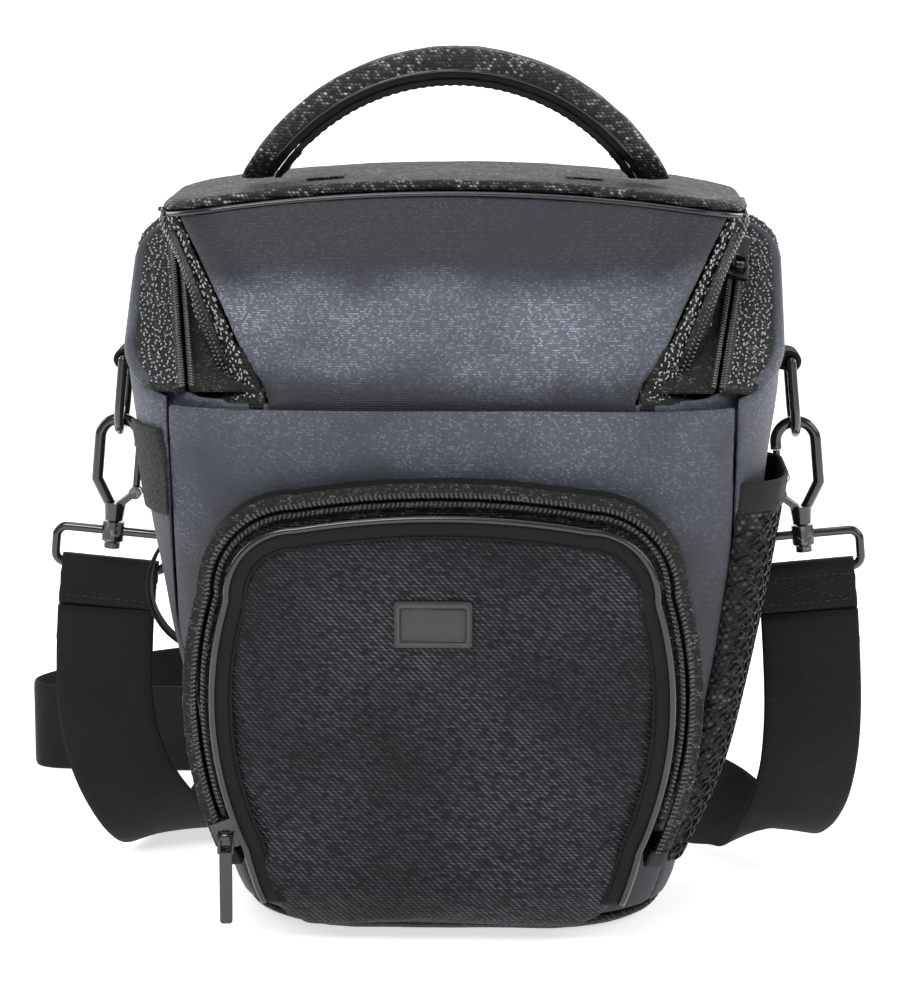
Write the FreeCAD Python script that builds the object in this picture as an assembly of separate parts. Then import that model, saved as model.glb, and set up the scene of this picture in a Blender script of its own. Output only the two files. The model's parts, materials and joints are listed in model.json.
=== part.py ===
import FreeCAD, Part
import math
import os
from FreeCAD import Matrix, Placement, Rotation, Vector

# A toploader camera bag: a tapered padded body, a lid that opens forward on a sloping
# zip, a zipped front pocket, a carrying handle and a clip-on shoulder strap.
# Millimetres.  Origin under the middle of the bag, +Z up, front towards -Y.

os.makedirs("parts", exist_ok=True)

# ---- driving sizes: the body ----
PANEL = 2.5                 # laminated outer fabric
FOAM = 6.0                  # padded walls inside
GAP = 0.3                   # play between neighbouring layers
PAD_OUT = 3.3               # the back pad's outer face, from the back panel
BELT_T = 2.2                # belt loop's webbing
SLIP = 9.0                  # how far the front cover stands ahead of the inner front wall
FRONT_CORNER = 46.0
BACK_CORNER = 26.0
BASE_TOP = 6.0
RIM_FRONT_Y = -57.5         # the rim plane passes here ...
RIM_FRONT_Z = 204.0         # ... at this height ...
RIM_SLOPE = 0.48            # ... and climbs this much per mm towards the back
RIM_TILT = math.degrees(math.atan(RIM_SLOPE))
COVER_TOP = 202.0           # top edge of the slip pocket on the front
COVER_SEAM_X = 103.0        # where the front cover meets the side panels

# ---- zips ----
TEETH_W = 2.3               # one half of the chain
TEETH_H = 1.3               # how far the chain stands off its tape
SLOT = 0.6                  # half of the slot that the slider's web runs in
TAPE_T = 1.2
ZIP_START_Y = -52.0         # the main zip ends here, just behind the lid's hinge
ZIP_HALF_LOW = 94.0         # half width of the main zip's line at height ZIP_LOW ...
ZIP_HALF_GROW = 0.30        # ... and how much wider it gets per mm of height
ZIP_LOW = 200.0
ZIP_HIGH = 275.0
ZIP_BACK_Y = 55.0
ZIP_CORNER = 20.0

MAIN_SLIDER_Y = 17.0        # where the main zip's slider rests
MAIN_EYE = TEETH_H + 4.0    # height of its eye over the shoulder
MAIN_PULL = (21.0, 5.6)

# ---- lid ----
LID_TOP = 281.0             # crown of the lid, at its middle
CROWN_R = 645.0             # the top arches from side to side at this radius
LID_WALL = 3.0
LID_LEVELS = [              # height, half width, front y, back y, front and back corner
    (200.0, 89.0, -56.0, 46.5, 40.0, 18.0),
    (225.0, 95.0, -50.0, 47.0, 37.0, 18.0),
    (250.0, 102.5, -43.5, 47.0, 32.0, 18.0),
    (263.0, 109.0, -39.5, 54.0, 27.0, 22.0),
    (271.0, 107.5, -37.5, 57.0, 22.0, 20.0),
    (277.0, 99.0, -35.0, 54.0, 18.0, 16.0),
    (285.0, 86.0, -32.0, 51.0, 16.0, 14.0),
]
LID_PANEL_LOW = 68.0        # half width of the lid's front panel at the rim
LID_PANEL_GROW = 0.5        # how much it widens per mm of height
LID_BACK_Y = 34.0           # the back strip starts here
CHAIN2_LOW = 77.5           # the lid's second chain: its inner edge at the rim ...
CHAIN2_GROW = 0.42          # ... and how much further out it runs per mm of height
CHAIN2_WIDE = 5.2
CHAIN2_TOP = 262.0
PIPING_DEPTH = (3.4, 6.5)   # the piping's upper and lower edge below the crown
PIPING_BACK_Y = -8.0
FOAM_DEPTH = 10.5           # underside of the lid's foam below the crown

# ---- handle ----
HANDLE_Y = -4.0
HANDLE_AXIS_Z = 284.4       # its two ends turn about this height
HANDLE_RADIUS = 84.0        # of the arch, at the middle of its pad
HANDLE_TOP_Z = 320.5        # middle of the pad at the top
HANDLE_SWEEP = 66.0
HANDLE_WIDTH = 24.0
HANDLE_THICK = 13.0
HANDLE_STRIP_T = 2.4        # smooth strip on the arch's underside
HANDLE_END_R = 5.4          # the ends are round about the hinge line ...
HANDLE_FOLD = 50.0          # ... and cut back so that the handle can fold this far
HANDLE_PIN_R = 3.4
HANDLE_PIN_X = (45.0, 63.0) # the sewn-in pin runs inwards from each foot

# ---- front pocket, in its own tilted plane (u across, v up the cover, w outwards) ----
POCKET_TILT = math.degrees(math.atan(0.075))
POCKET_U = -3.0             # middle of the pocket
ZIP_RADIUS = 143.0          # the slot's side curve ...
ZIP_CENTRE = (54.0, 95.0)   # ... on the left side turns about this point, from POCKET_U
HINGE_V = 50.0              # the flap folds down along this line
CHANNEL_V = 38.0            # the zip's two ends stop here, below the flap
SLIDER_V = 44.2             # the closed slider rests here
POCKET_DEPTH = 8.2
FLAP_T = 4.5
FLAP_BACK_W = 9.6
FLAP_EDGE = 4.6             # the flap's padded panel starts this far inside the slot
BINDING_W = 7.0
POCKET_PULL = (33.0, 4.6)   # length and width of the hanging pull

# ---- inside and on the sides ----
DIVIDER_Z = 66.0            # underside of the lens divider
MESH_Y = (-34.0, 22.0)
MESH_Z = (22.0, 160.0)
MESH_HEIGHTS = [14.0, 30.0, 45.0, 60.0, 80.0, 110.0, 140.0, 165.0, 185.0]
HEM_HEIGHT = 12.0

# ---- strap hardware ----
RING_Y = 28.0               # plane of the hanging hardware
BAR_X = 128.0               # pivot of the D-ring
BAR_Z = 207.0
LEAN = 5.5                  # degrees that the hardware leans out on the bag's side
D_WIRE = 1.9
D_HALF = 11.0
HOOK_WIRE = 2.2
HOOK_HALF = 7.7
HOOK_TOP = 182.4
GATE_Z = 154.0
RING_WIRE = 1.75
RING_HALF = 21.8
RING_TOP = 137.8
RING_LOW = 123.5
STRAP_W = 38.0
STRAP_T = 1.6
FOLD_END = 108.0            # the sewn fold ends and the free strap starts

# ---- shoulder strap: centre line and the direction across the webbing, by hand ----
STRAP_LEFT = [
    ((-137.54, 24.85, 107.8), (1.0, 0.0, -0.096)),
    ((-139.0, 24.5, 86.0), (1.0, 0.0, -0.05)),
    ((-138.5, 26.5, 60.0), (1.0, 0.05, 0.1)),
    ((-132.0, 32.0, 36.0), (1.0, 0.1, 0.3)),
    ((-122.0, 44.0, 16.0), (1.0, 0.2, 0.3)),
    ((-112.0, 66.0, 4.8), (1.0, 0.25, 0.05)),
    ((-104.0, 96.0, 2.0), (1.0, 0.2, 0.0)),
    ((-99.0, 132.0, 1.5), (1.0, 0.1, 0.0)),
    ((-97.0, 172.0, 3.2), (1.0, 0.0, 0.05)),
    ((-93.0, 208.0, 12.4), (0.85, -0.1, 0.55)),
    ((-98.0, 236.0, 20.6), (0.4, -0.2, 0.9)),
    ((-120.0, 250.0, 20.8), (0.0, 0.0, 1.0)),
    ((-150.0, 238.0, 19.8), (0.0, 0.0, 1.0)),
    ((-176.0, 214.0, 19.4), (0.0, 0.0, 1.0)),
    ((-193.0, 192.0, 19.4), (0.0, 0.0, 1.0)),
    ((-190.0, 177.0, 19.4), (0.0, 0.0, 1.0)),
    ((-168.0, 174.0, 19.4), (0.0, 0.0, 1.0)),
    ((-132.0, 166.0, 21.5), (0.0, 0.0, 1.0)),
    ((-98.0, 157.0, 24.0), (0.0, 0.0, 1.0)),
    ((-64.0, 150.0, 23.0), (0.0, 0.0, 1.0)),
    ((-10.8, 141.4, 22.6), (0.0, 0.0, 1.0)),
]
STRAP_RIGHT = [
    ((137.54, 24.85, 107.8), (1.0, 0.0, 0.096)),
    ((139.2, 24.5, 86.0), (1.0, 0.0, 0.05)),
    ((140.0, 26.5, 60.0), (1.0, 0.0, -0.05)),
    ((138.0, 31.0, 36.0), (1.0, 0.1, -0.2)),
    ((131.0, 41.0, 15.0), (1.0, 0.3, -0.2)),
    ((118.0, 57.0, 11.6), (0.75, 0.45, 0.3)),
    ((101.0, 76.0, 17.2), (0.4, 0.35, 0.75)),
    ((82.0, 95.0, 20.4), (0.1, 0.1, 1.0)),
    ((61.0, 112.0, 20.0), (0.0, 0.0, 1.0)),
    ((36.0, 127.0, 20.0), (0.0, 0.0, 1.0)),
    ((10.0, 138.0, 21.0), (0.0, 0.0, 1.0)),
    ((-8.0, 141.0, 22.6), (0.0, 0.0, 1.0)),
]
ADJUSTER_AT = (-36.0, 145.5, 22.9)
ADJUSTER_DIRECTION = (-56.0, 9.0, 0.0)


def save(name, shape):
    shape.exportStep("parts/" + name + ".step")
    print(name, round(shape.Volume / 1000.0, 2), "cm3", "solids", len(shape.Solids))


def box(x0, x1, y0, y1, z0, z1):
    return Part.makeBox(x1 - x0, y1 - y0, z1 - z0, Vector(x0, y0, z0))


def rod(start, end, radius):
    start = Vector(*start)
    along = Vector(*end) - start
    return Part.makeCylinder(radius, along.Length, start, along)


def fuse(shapes):
    whole = shapes[0]
    if len(shapes) > 1:
        whole = shapes[0].fuse(shapes[1:])
    return whole.removeSplitter()


def mirrored(shape):
    return shape.mirror(Vector(0, 0, 0), Vector(1, 0, 0))


# ---------------------------------------------------------------- outlines and lofts
def half_width(z):
    return 86.0 + 0.262 * (z - 20.0) - 0.00042 * (z - 20.0) ** 2


def front_y(z):
    return -42.0 - 0.075 * z


def back_y(z):
    return 50.0 + 0.055 * z


def base_round(z):
    # the lower edge is rounded: how far it draws in near the floor
    if z >= 14.0:
        return 0.0
    return 9.0 * (1.0 - math.sqrt(1.0 - ((14.0 - z) / 14.0) ** 2))


def outline(half, y0, y1, front_r, back_r, z):
    """Rounded rectangle at height z, as a closed wire of four lines and four arcs."""
    c = 1.0 - math.sqrt(0.5)
    f = front_r
    b = back_r
    p = [
        Vector(-half + f, y0, z), Vector(half - f, y0, z),
        Vector(half, y0 + f, z), Vector(half, y1 - b, z),
        Vector(half - b, y1, z), Vector(-half + b, y1, z),
        Vector(-half, y1 - b, z), Vector(-half, y0 + f, z),
    ]
    mids = [
        Vector(half - f * c, y0 + f * c, z), Vector(half - b * c, y1 - b * c, z),
        Vector(-half + b * c, y1 - b * c, z), Vector(-half + f * c, y0 + f * c, z),
    ]
    edges = []
    for k in range(4):
        edges.append(Part.LineSegment(p[2 * k], p[2 * k + 1]).toShape())
        edges.append(Part.Arc(p[2 * k + 1], mids[k], p[(2 * k + 2) % 8]).toShape())
    return Part.Wire(edges)


BODY_HEIGHTS = [0.0, 3.0, 7.0, 14.0, 60.0, 110.0, 160.0, 205.0, 250.0, 290.0]


def body(front_extra, inset, heights=BODY_HEIGHTS):
    """The body's tapered volume; inset may be a number or a function of the height."""
    wires = []
    for z in heights:
        inward = inset(z) if callable(inset) else inset
        inward = inward + base_round(z)
        wires.append(outline(
            half_width(z) - inward, front_y(z) - front_extra + inward, back_y(z) - inward,
            FRONT_CORNER - inward, BACK_CORNER - min(inward, 20.0), z))
    return Part.makeLoft(wires, True, True)


def lid(inset):
    """The lid's volume, from below the rim plane to its top."""
    wires = []
    for z, half, y0, y1, front_r, back_r in LID_LEVELS:
        wires.append(outline(
            half - inset, y0 + inset, y1 - inset,
            front_r - inset * 0.5, back_r - inset * 0.5, z - inset * (z - 200.0) / 77.0))
    return Part.makeLoft(wires, True, True)


def under_crown(depth):
    """Everything deeper than this below the lid's arched top."""
    radius = CROWN_R - depth
    return Part.makeCylinder(radius, 240.0, Vector(0, -120.0, LID_TOP - CROWN_R), Vector(0, 1, 0))


def rim_slab(low, high):
    """Everything between two planes parallel to the sloping rim, by height over the rim."""
    slab = Part.makeBox(400.0, 400.0, high - low, Vector(-200.0, -200.0, low))
    slab.rotate(Vector(0, 0, 0), Vector(1, 0, 0), RIM_TILT)
    slab.translate(Vector(0, RIM_FRONT_Y, RIM_FRONT_Z))
    return slab


def rim_z(y):
    return RIM_FRONT_Z + RIM_SLOPE * (y - RIM_FRONT_Y)


COVER = body(SLIP, 0.0)                       # outer volume with the front cover
COVER_INNER = body(SLIP, PANEL)
COVER_SHELL = COVER.cut(COVER_INNER)
INNER = body(0.0, 0.0)                        # volume without the slip pocket
INNER_SHELL = INNER.cut(body(0.0, PANEL))
BELOW_ZIP = rim_slab(-260.0, -TAPE_T - 0.2)
BELOW_FOAM = rim_slab(-260.0, -9.0)
LID_SOLID = lid(0.0)
LID_SHELL = LID_SOLID.cut(lid(LID_WALL))
ABOVE_RIM = rim_slab(SLOT, 200.0)


# ---------------------------------------------------------------- body panels
def base_panel():
    return COVER.common(box(-150, 150, -90, 90, 0, BASE_TOP))


def front_cover():
    zone = box(-COVER_SEAM_X, COVER_SEAM_X, -90, -30, BASE_TOP + GAP, COVER_TOP)
    return COVER_SHELL.common(zone)


def front_wall():
    zone = box(-150, 150, -90, -34, BASE_TOP + GAP, 400)
    wall = INNER_SHELL.common(zone).common(BELOW_ZIP)
    return wall.common(body(SLIP, PANEL + GAP))


def side_panel(side):
    zone = box(0, 150, -90, 38, BASE_TOP + GAP, 400)
    zone = zone.cut(box(-1, COVER_SEAM_X + GAP, -91, -30, 0, 401))
    shell = COVER_SHELL.common(zone).common(BELOW_ZIP)
    shell = shell.common(box(0, 150, -90, 90, 0, 400))
    shell = max(shell.Solids, key=lambda s: s.Volume)
    return shell if side > 0 else mirrored(shell)


def back_panel():
    zone = box(-150, 150, 38 + GAP, 90, BASE_TOP + GAP, 400)
    return COVER_SHELL.common(zone).common(BELOW_ZIP)


def liner(name):
    """Foam walls inside: a ring of padding cut into front, back and the two sides."""
    outer = body(0.0, PANEL + GAP)
    inner = body(0.0, PANEL + GAP + FOAM)
    ring = outer.cut(inner).common(BELOW_FOAM)
    zones = {
        "front": box(-150, 150, -90, -30, BASE_TOP + GAP, 400),
        "back": box(-150, 150, 34, 90, BASE_TOP + GAP, 400),
        "sides": box(-150, 150, -30 + GAP, 34 - GAP, BASE_TOP + GAP, 400),
    }
    return ring.common(zones[name])


def liner_base():
    zone = box(-150, 150, -90, 90, BASE_TOP + GAP, BASE_TOP + GAP + FOAM)
    return body(0.0, PANEL + 2 * GAP + FOAM).common(zone)


def lens_divider():
    zone = box(-150, 150, -90, 90, DIVIDER_Z, DIVIDER_Z + FOAM)
    return body(0.0, PANEL + 2 * GAP + FOAM).common(zone)


def back_pad():
    pad = box(-78, 78, 40, 90, 24, 226)
    shell = body(SLIP, -PAD_OUT + 0.1).cut(body(SLIP, -0.2))
    return shell.common(pad)


def belt_loop():
    """A wide webbing loop on the back pad, sewn at its two ends, with a gap for a belt."""
    foot = [(0.0, 96.0), (0.0, 110.0), (7.5, 120.0), (7.5, 176.0), (0.0, 186.0), (0.0, 200.0)]
    outside = [(out + BELT_T, z) for out, z in foot]
    points = [Vector(-26.0, back_y(z) + PAD_OUT + out, z) for out, z in foot + outside[::-1]]
    points.append(points[0])
    return Part.Face(Part.makePolygon(points)).extrude(Vector(52.0, 0, 0))


# ---------------------------------------------------------------- main zip
def zip_zone():
    return box(-150, 150, ZIP_START_Y, 90, 150, 320)


def zip_line(outward):
    """Everything inside the main zip's line, which the rim plane cuts along the slot."""
    wires = []
    for z in (ZIP_LOW - 10.0, ZIP_HIGH):
        half = ZIP_HALF_LOW + ZIP_HALF_GROW * (z - ZIP_LOW) + outward
        wires.append(outline(half, -110.0, ZIP_BACK_Y + outward, 10.0, ZIP_CORNER + outward, z))
    return Part.makeLoft(wires, True, True)


def main_zip_body_half():
    """The body's tape lies on the sloping shoulder inside the rim, with half of the chain."""
    slot = zip_line(SLOT)
    tape = COVER.cut(slot).common(rim_slab(-TAPE_T, 0.0))
    chain = zip_line(SLOT + TEETH_W).cut(slot).common(rim_slab(-0.1, TEETH_H))
    return fuse([tape, chain]).common(zip_zone())


def main_zip_lid_half():
    """The lid's tape reaches from the chain to the lid's wall, whose lower edge it closes."""
    slot = zip_line(-SLOT)
    tape = slot.cut(lid(LID_WALL)).common(rim_slab(-TAPE_T, 0.0))
    chain = slot.cut(zip_line(-SLOT - TEETH_W)).common(rim_slab(-0.1, TEETH_H))
    return fuse([tape, chain]).common(zip_zone())


# ---------------------------------------------------------------- lid
def lid_front_zone(extra=0.0):
    low = LID_PANEL_LOW + extra
    high = low + LID_PANEL_GROW * (LID_TOP + 10.0 - RIM_FRONT_Z)
    points = [Vector(-low, -90, RIM_FRONT_Z - 5), Vector(low, -90, RIM_FRONT_Z - 5),
              Vector(high, -90, LID_TOP + 10), Vector(-high, -90, LID_TOP + 10)]
    points.append(points[0])
    return Part.Face(Part.makePolygon(points)).extrude(Vector(0, 80, 0))


LID_WALLS = LID_SHELL.common(ABOVE_RIM).common(under_crown(LID_WALL + 1.0))


def lid_front_panel():
    return LID_WALLS.common(lid_front_zone())


def lid_side_band(side):
    half = LID_WALLS.cut(lid_front_zone(GAP))
    half = half.common(box(0, 150, -90, LID_BACK_Y, 190, 320))
    half = max(half.Solids, key=lambda s: s.Volume)
    return half if side > 0 else mirrored(half)


def lid_back_strip():
    return LID_WALLS.common(box(-150, 150, LID_BACK_Y + GAP, 90, 190, 320))


def lid_top_panel():
    return LID_SOLID.common(under_crown(0.0)).cut(under_crown(LID_WALL + 0.8))


def lid_foam():
    return lid(LID_WALL + GAP).common(under_crown(LID_WALL + 1.2)).cut(under_crown(FOAM_DEPTH))


def lid_piping():
    ring = lid(-1.5).cut(lid(-0.1))
    high, low = PIPING_DEPTH
    ring = ring.common(under_crown(high)).cut(under_crown(low))
    return ring.common(box(-150, 150, -90, PIPING_BACK_Y, 200, 320))


def expansion_zips():
    """A second chain on the lid's side bands, between the front panel and the main zip."""
    low = CHAIN2_LOW
    high = low + CHAIN2_GROW * (CHAIN2_TOP - RIM_FRONT_Z)
    points = [Vector(low, -90, RIM_FRONT_Z), Vector(low + CHAIN2_WIDE, -90, RIM_FRONT_Z),
              Vector(high + CHAIN2_WIDE, -90, CHAIN2_TOP), Vector(high, -90, CHAIN2_TOP)]
    points.append(points[0])
    stripe = Part.Face(Part.makePolygon(points)).extrude(Vector(0, 120, 0))
    ring = lid(-1.4).cut(lid(-0.1)).common(ABOVE_RIM).common(rim_slab(TEETH_H + 0.5, 200.0))
    half = ring.common(stripe)
    half = max(half.Solids, key=lambda s: s.Volume)
    return Part.makeCompound([half, mirrored(half)])


# ---------------------------------------------------------------- handle
HANDLE_CENTRE_Z = HANDLE_TOP_Z - HANDLE_RADIUS
PAD_LOW = HANDLE_RADIUS - HANDLE_THICK * 0.5
PAD_HIGH = HANDLE_RADIUS + HANDLE_THICK * 0.5


def handle_envelope(inset):
    """Full width above, narrowing to a round end about the hinge line."""
    r = HANDLE_END_R - inset
    half = HANDLE_WIDTH * 0.5 + 1.0
    fold = math.radians(HANDLE_FOLD)
    shoulder = (half * math.sin(fold) - r) / math.cos(fold)
    profile = [(-half, 60.0), (-half, shoulder), (-r * math.sin(fold), -r * math.cos(fold)),
               (r * math.sin(fold), -r * math.cos(fold)), (half, shoulder), (half, 60.0)]
    points = [Vector(-120.0, HANDLE_Y + y, HANDLE_AXIS_Z + z) for y, z in profile]
    points.append(points[0])
    wedge = Part.Face(Part.makePolygon(points)).extrude(Vector(240.0, 0, 0))
    return wedge.fuse(rod((-120.0, HANDLE_Y, HANDLE_AXIS_Z), (120.0, HANDLE_Y, HANDLE_AXIS_Z), r))


def arch(r0, r1, width, corner, inset):
    """A stretch of the handle's arch between two radii, width across."""
    y0 = HANDLE_Y - width * 0.5
    z0 = HANDLE_CENTRE_Z
    points = [Vector(0, y0 + corner, z0 + r1), Vector(0, y0, z0 + r1 - corner), Vector(0, y0, z0 + r0),
              Vector(0, y0 + width, z0 + r0), Vector(0, y0 + width, z0 + r1 - corner),
              Vector(0, y0 + width - corner, z0 + r1)]
    if corner == 0.0:
        points = [points[1], points[2], points[3], points[4]]
    points.append(points[0])
    face = Part.Face(Part.makePolygon(points))
    centre = Vector(0, HANDLE_Y, z0)
    face.rotate(centre, Vector(0, 1, 0), -HANDLE_SWEEP)
    pad = face.revolve(centre, Vector(0, 1, 0), 2 * HANDLE_SWEEP)
    return pad.common(handle_envelope(inset))


def handle_cover():
    """Padded woven cover, closed at its two ends, open to the strip underneath."""
    outer = arch(PAD_LOW + HANDLE_STRIP_T + 0.1, PAD_HIGH, HANDLE_WIDTH, 4.0, 0.0)
    return outer.cut(arch(PAD_LOW - 1.0, PAD_HIGH - 2.0, HANDLE_WIDTH - 4.0, 3.0, 2.0))


def handle_core():
    return arch(PAD_LOW + HANDLE_STRIP_T + 0.2, PAD_HIGH - 2.2, HANDLE_WIDTH - 4.4, 3.0, 2.2)


def handle_base_strip():
    """The smooth strip under the pad, with a pin sewn across each foot."""
    pieces = [arch(PAD_LOW, PAD_LOW + HANDLE_STRIP_T, HANDLE_WIDTH, 0.0, 0.0)]
    for side in (-1, 1):
        start = (side * HANDLE_PIN_X[0], HANDLE_Y, HANDLE_AXIS_Z)
        end = (side * HANDLE_PIN_X[1], HANDLE_Y, HANDLE_AXIS_Z)
        pieces.append(rod(start, end, HANDLE_PIN_R))
    return fuse(pieces).cut(arch(PAD_LOW + HANDLE_STRIP_T, PAD_HIGH, HANDLE_WIDTH, 0.0, 0.0))


def handle_anchors():
    """Two stitched patches on the lid, each with a trough that the handle's pin turns in."""
    pair = []
    far = HANDLE_PIN_X[0] + 10.0
    trough = rod((-120.0, HANDLE_Y, HANDLE_AXIS_Z), (120.0, HANDLE_Y, HANDLE_AXIS_Z), HANDLE_PIN_R + GAP)
    above = under_crown(-0.1)
    for side in (-1, 1):
        x0, x1 = sorted((side * (far - 9.0), side * far))
        block = box(x0, x1, HANDLE_Y - 6.5, HANDLE_Y + 6.5, 270.0, HANDLE_AXIS_Z - 2.4)
        x0, x1 = sorted((side * (far - 14.0), side * far))
        patch = box(x0, x1, HANDLE_Y - 9.0, HANDLE_Y + 9.0, 270.0, 300.0).common(under_crown(-1.3))
        pair.append(fuse([block, patch]).cut(above).cut(trough))
    return Part.makeCompound(pair)


# ---------------------------------------------------------------- front pocket
POCKET_TURN = Rotation(Vector(1, 0, 0), 90.0 + POCKET_TILT)
POCKET_PLACE = Placement(Vector(POCKET_U, front_y(0) - SLIP, 0), POCKET_TURN)
CHAIN_LOW = POCKET_DEPTH + TAPE_T           # the pocket's chain, off the cover
CHAIN_TOP = CHAIN_LOW + TEETH_H
FLAP_TOP = FLAP_BACK_W + FLAP_T


def pocket_outline():
    """The slot of the pocket's zip, closed across the bottom of the bag."""
    cu, cv = ZIP_CENTRE
    foot = (cu - math.sqrt(ZIP_RADIUS ** 2 - (cv - CHANNEL_V) ** 2), CHANNEL_V)
    shoulder_v = 136.0
    shoulder = (cu - math.sqrt(ZIP_RADIUS ** 2 - (shoulder_v - cv) ** 2), shoulder_v)
    left = [
        ((-50.0, 3.0), (-66.0, 18.0), foot),
        (foot, (cu - ZIP_RADIUS, cv), shoulder),
        (shoulder, (-76.0, 156.0), (-53.0, 167.0)),
    ]
    edges = []
    for sign in (-1.0, 1.0):
        for a, b, c in left:
            ends = [Vector(-sign * p[0], p[1], 0) for p in (a, b, c)]
            edges.append(Part.Arc(ends[0], ends[1], ends[2]).toShape())
    edges.append(Part.Arc(Vector(-53, 167, 0), Vector(0, 171.5, 0), Vector(53, 167, 0)).toShape())
    edges.append(Part.LineSegment(Vector(-50, 3, 0), Vector(50, 3, 0)).toShape())
    return Part.Wire(Part.__sortEdges__(edges))


POCKET_FACE = Part.Face(pocket_outline())


def pocket_sheet(offset, w0, w1, v0=-20.0, v1=200.0):
    """The pocket's outline grown by offset, from w0 to w1, cut to a range of v."""
    face = POCKET_FACE if offset == 0 else POCKET_FACE.makeOffset2D(offset)
    solid = face.extrude(Vector(0, 0, w1 - w0))
    solid.translate(Vector(0, 0, w0))
    return solid.common(box(-150, 150, v0, v1, w0, w1))


def pocket_ring(outer, inner, w0, w1, v0=-20.0, v1=200.0):
    return pocket_sheet(outer, w0, w1, v0, v1).cut(pocket_sheet(inner, w0 - 1, w1 + 1, v0 - 1, v1 + 1))


def placed(shape):
    moved = shape.copy()
    moved.Placement = POCKET_PLACE.multiply(moved.Placement)
    return moved


def pocket_point(u, v, w):
    return POCKET_PLACE.multVec(Vector(u, v, w))


def pocket_gusset():
    wall = placed(pocket_ring(6.0, 4.0, -26.0, POCKET_DEPTH - 0.1, CHANNEL_V))
    return wall.cut(body(SLIP, -0.3))


def pocket_zip_outer():
    tape = pocket_ring(6.0, SLOT, POCKET_DEPTH, CHAIN_LOW, CHANNEL_V)
    chain = pocket_ring(SLOT + TEETH_W, SLOT, CHAIN_LOW, CHAIN_TOP, CHANNEL_V)
    return placed(fuse([tape, chain]))


def zip_end_tabs():
    """Fabric tabs that close the two lower ends of the pocket's zip."""
    tabs = placed(pocket_ring(6.0, -SLOT, -26.0, CHAIN_LOW, CHANNEL_V - 7.0, CHANNEL_V - 0.2))
    return tabs.cut(body(SLIP, -0.3))


def pocket_zip_inner():
    low = HINGE_V + 0.6
    tape = pocket_ring(-SLOT, -SLOT - 6.0, POCKET_DEPTH, CHAIN_LOW, low)
    chain = pocket_ring(-SLOT, -SLOT - TEETH_W, CHAIN_LOW, CHAIN_TOP, low)
    return placed(fuse([tape, chain]))


def pocket_flap_panel():
    return placed(pocket_sheet(-SLOT - FLAP_EDGE, FLAP_BACK_W, FLAP_TOP, HINGE_V + 0.6))


def pocket_flap_binding():
    edge = -SLOT - FLAP_EDGE
    return placed(pocket_ring(edge, edge - BINDING_W, FLAP_TOP + 0.1, FLAP_TOP + 1.3, HINGE_V + 0.6))


def pocket_badge():
    plate = Part.makeBox(28.0, 17.0, 1.6, Vector(-17.0, 118.5, FLAP_TOP + 0.1))
    edges = [e for e in plate.Edges if abs(e.Vertexes[0].Z - e.Vertexes[1].Z) > 1.0]
    return placed(plate.makeFillet(1.5, edges))


def pocket_lower_panel():
    """The padded lower front, below the flap, rounded under towards the base."""
    wide = pocket_sheet(-SLOT - 0.2, -26.0, FLAP_TOP, 3.0, CHANNEL_V)
    slim = pocket_sheet(-SLOT - FLAP_EDGE, -26.0, FLAP_TOP, CHANNEL_V, HINGE_V - 0.2)
    under = [(2, 3), (10, 9), (26, 16), (-30, 16)]
    points = [Vector(-150, v, w) for v, w in under]
    points.append(points[0])
    cutter = Part.Face(Part.makePolygon(points)).extrude(Vector(300, 0, 0))
    return placed(fuse([wide, slim]).cut(cutter)).cut(body(SLIP, -0.3))


SLIDER_ANGLE = math.asin((ZIP_CENTRE[1] - SLIDER_V) / ZIP_RADIUS)
SLIDER_U = ZIP_CENTRE[0] - ZIP_RADIUS * math.cos(SLIDER_ANGLE)
EYE_W = CHAIN_TOP + 3.4


def pocket_slider():
    """Crown plate and inner plate joined by a thin web that runs in the slot."""
    outer = box(-4.4, 4.4, -5.5, 5.5, CHAIN_TOP + 0.4, CHAIN_TOP + 1.8)
    inner = box(-3.6, 3.6, -5.0, 5.0, POCKET_DEPTH - 1.7, POCKET_DEPTH - 0.4)
    web = box(-0.3, 0.3, -4.0, 4.0, POCKET_DEPTH - 1.0, CHAIN_TOP + 1.0)
    plates = fuse([outer, inner, web])
    plates.rotate(Vector(0, 0, 0), Vector(0, 0, 1), math.degrees(SLIDER_ANGLE))
    eye = rod((-1.6, 0, EYE_W), (1.6, 0, EYE_W), 1.6)
    post = box(-1.6, 1.6, -1.1, 1.1, CHAIN_TOP + 1.6, EYE_W)
    whole = fuse([plates, eye, post]).cut(rod((-3, 0, EYE_W), (3, 0, EYE_W), 0.8))
    whole.translate(Vector(SLIDER_U, SLIDER_V, 0))
    return placed(whole)


def pull(length, width, height_axis):
    """A thin zip pull hanging from a cross pin at the origin, along -y."""
    pin = rod((-2.9, 0, height_axis), (2.9, 0, height_axis), 0.55)
    cheeks = []
    for x in (-2.4, 2.4):
        cheeks.append(box(x - 0.6, x + 0.6, -6.5, 0.9, height_axis - 0.7, height_axis + 0.7))
    grip = box(-width * 0.5, width * 0.5, -length, -5.6, height_axis - 0.9, height_axis + 0.9)
    edges = [e for e in grip.Edges if abs(e.Vertexes[0].Z - e.Vertexes[1].Z) > 1.0]
    return fuse([pin, grip.makeFillet(1.2, edges)] + cheeks)


def pocket_pull():
    """Hangs straight down from the eye, although the pocket's face leans forward."""
    piece = pull(POCKET_PULL[0], POCKET_PULL[1], EYE_W)
    piece.rotate(Vector(0, 0, EYE_W), Vector(1, 0, 0), -POCKET_TILT)
    piece.translate(Vector(SLIDER_U, SLIDER_V, 0))
    return placed(piece)


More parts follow.
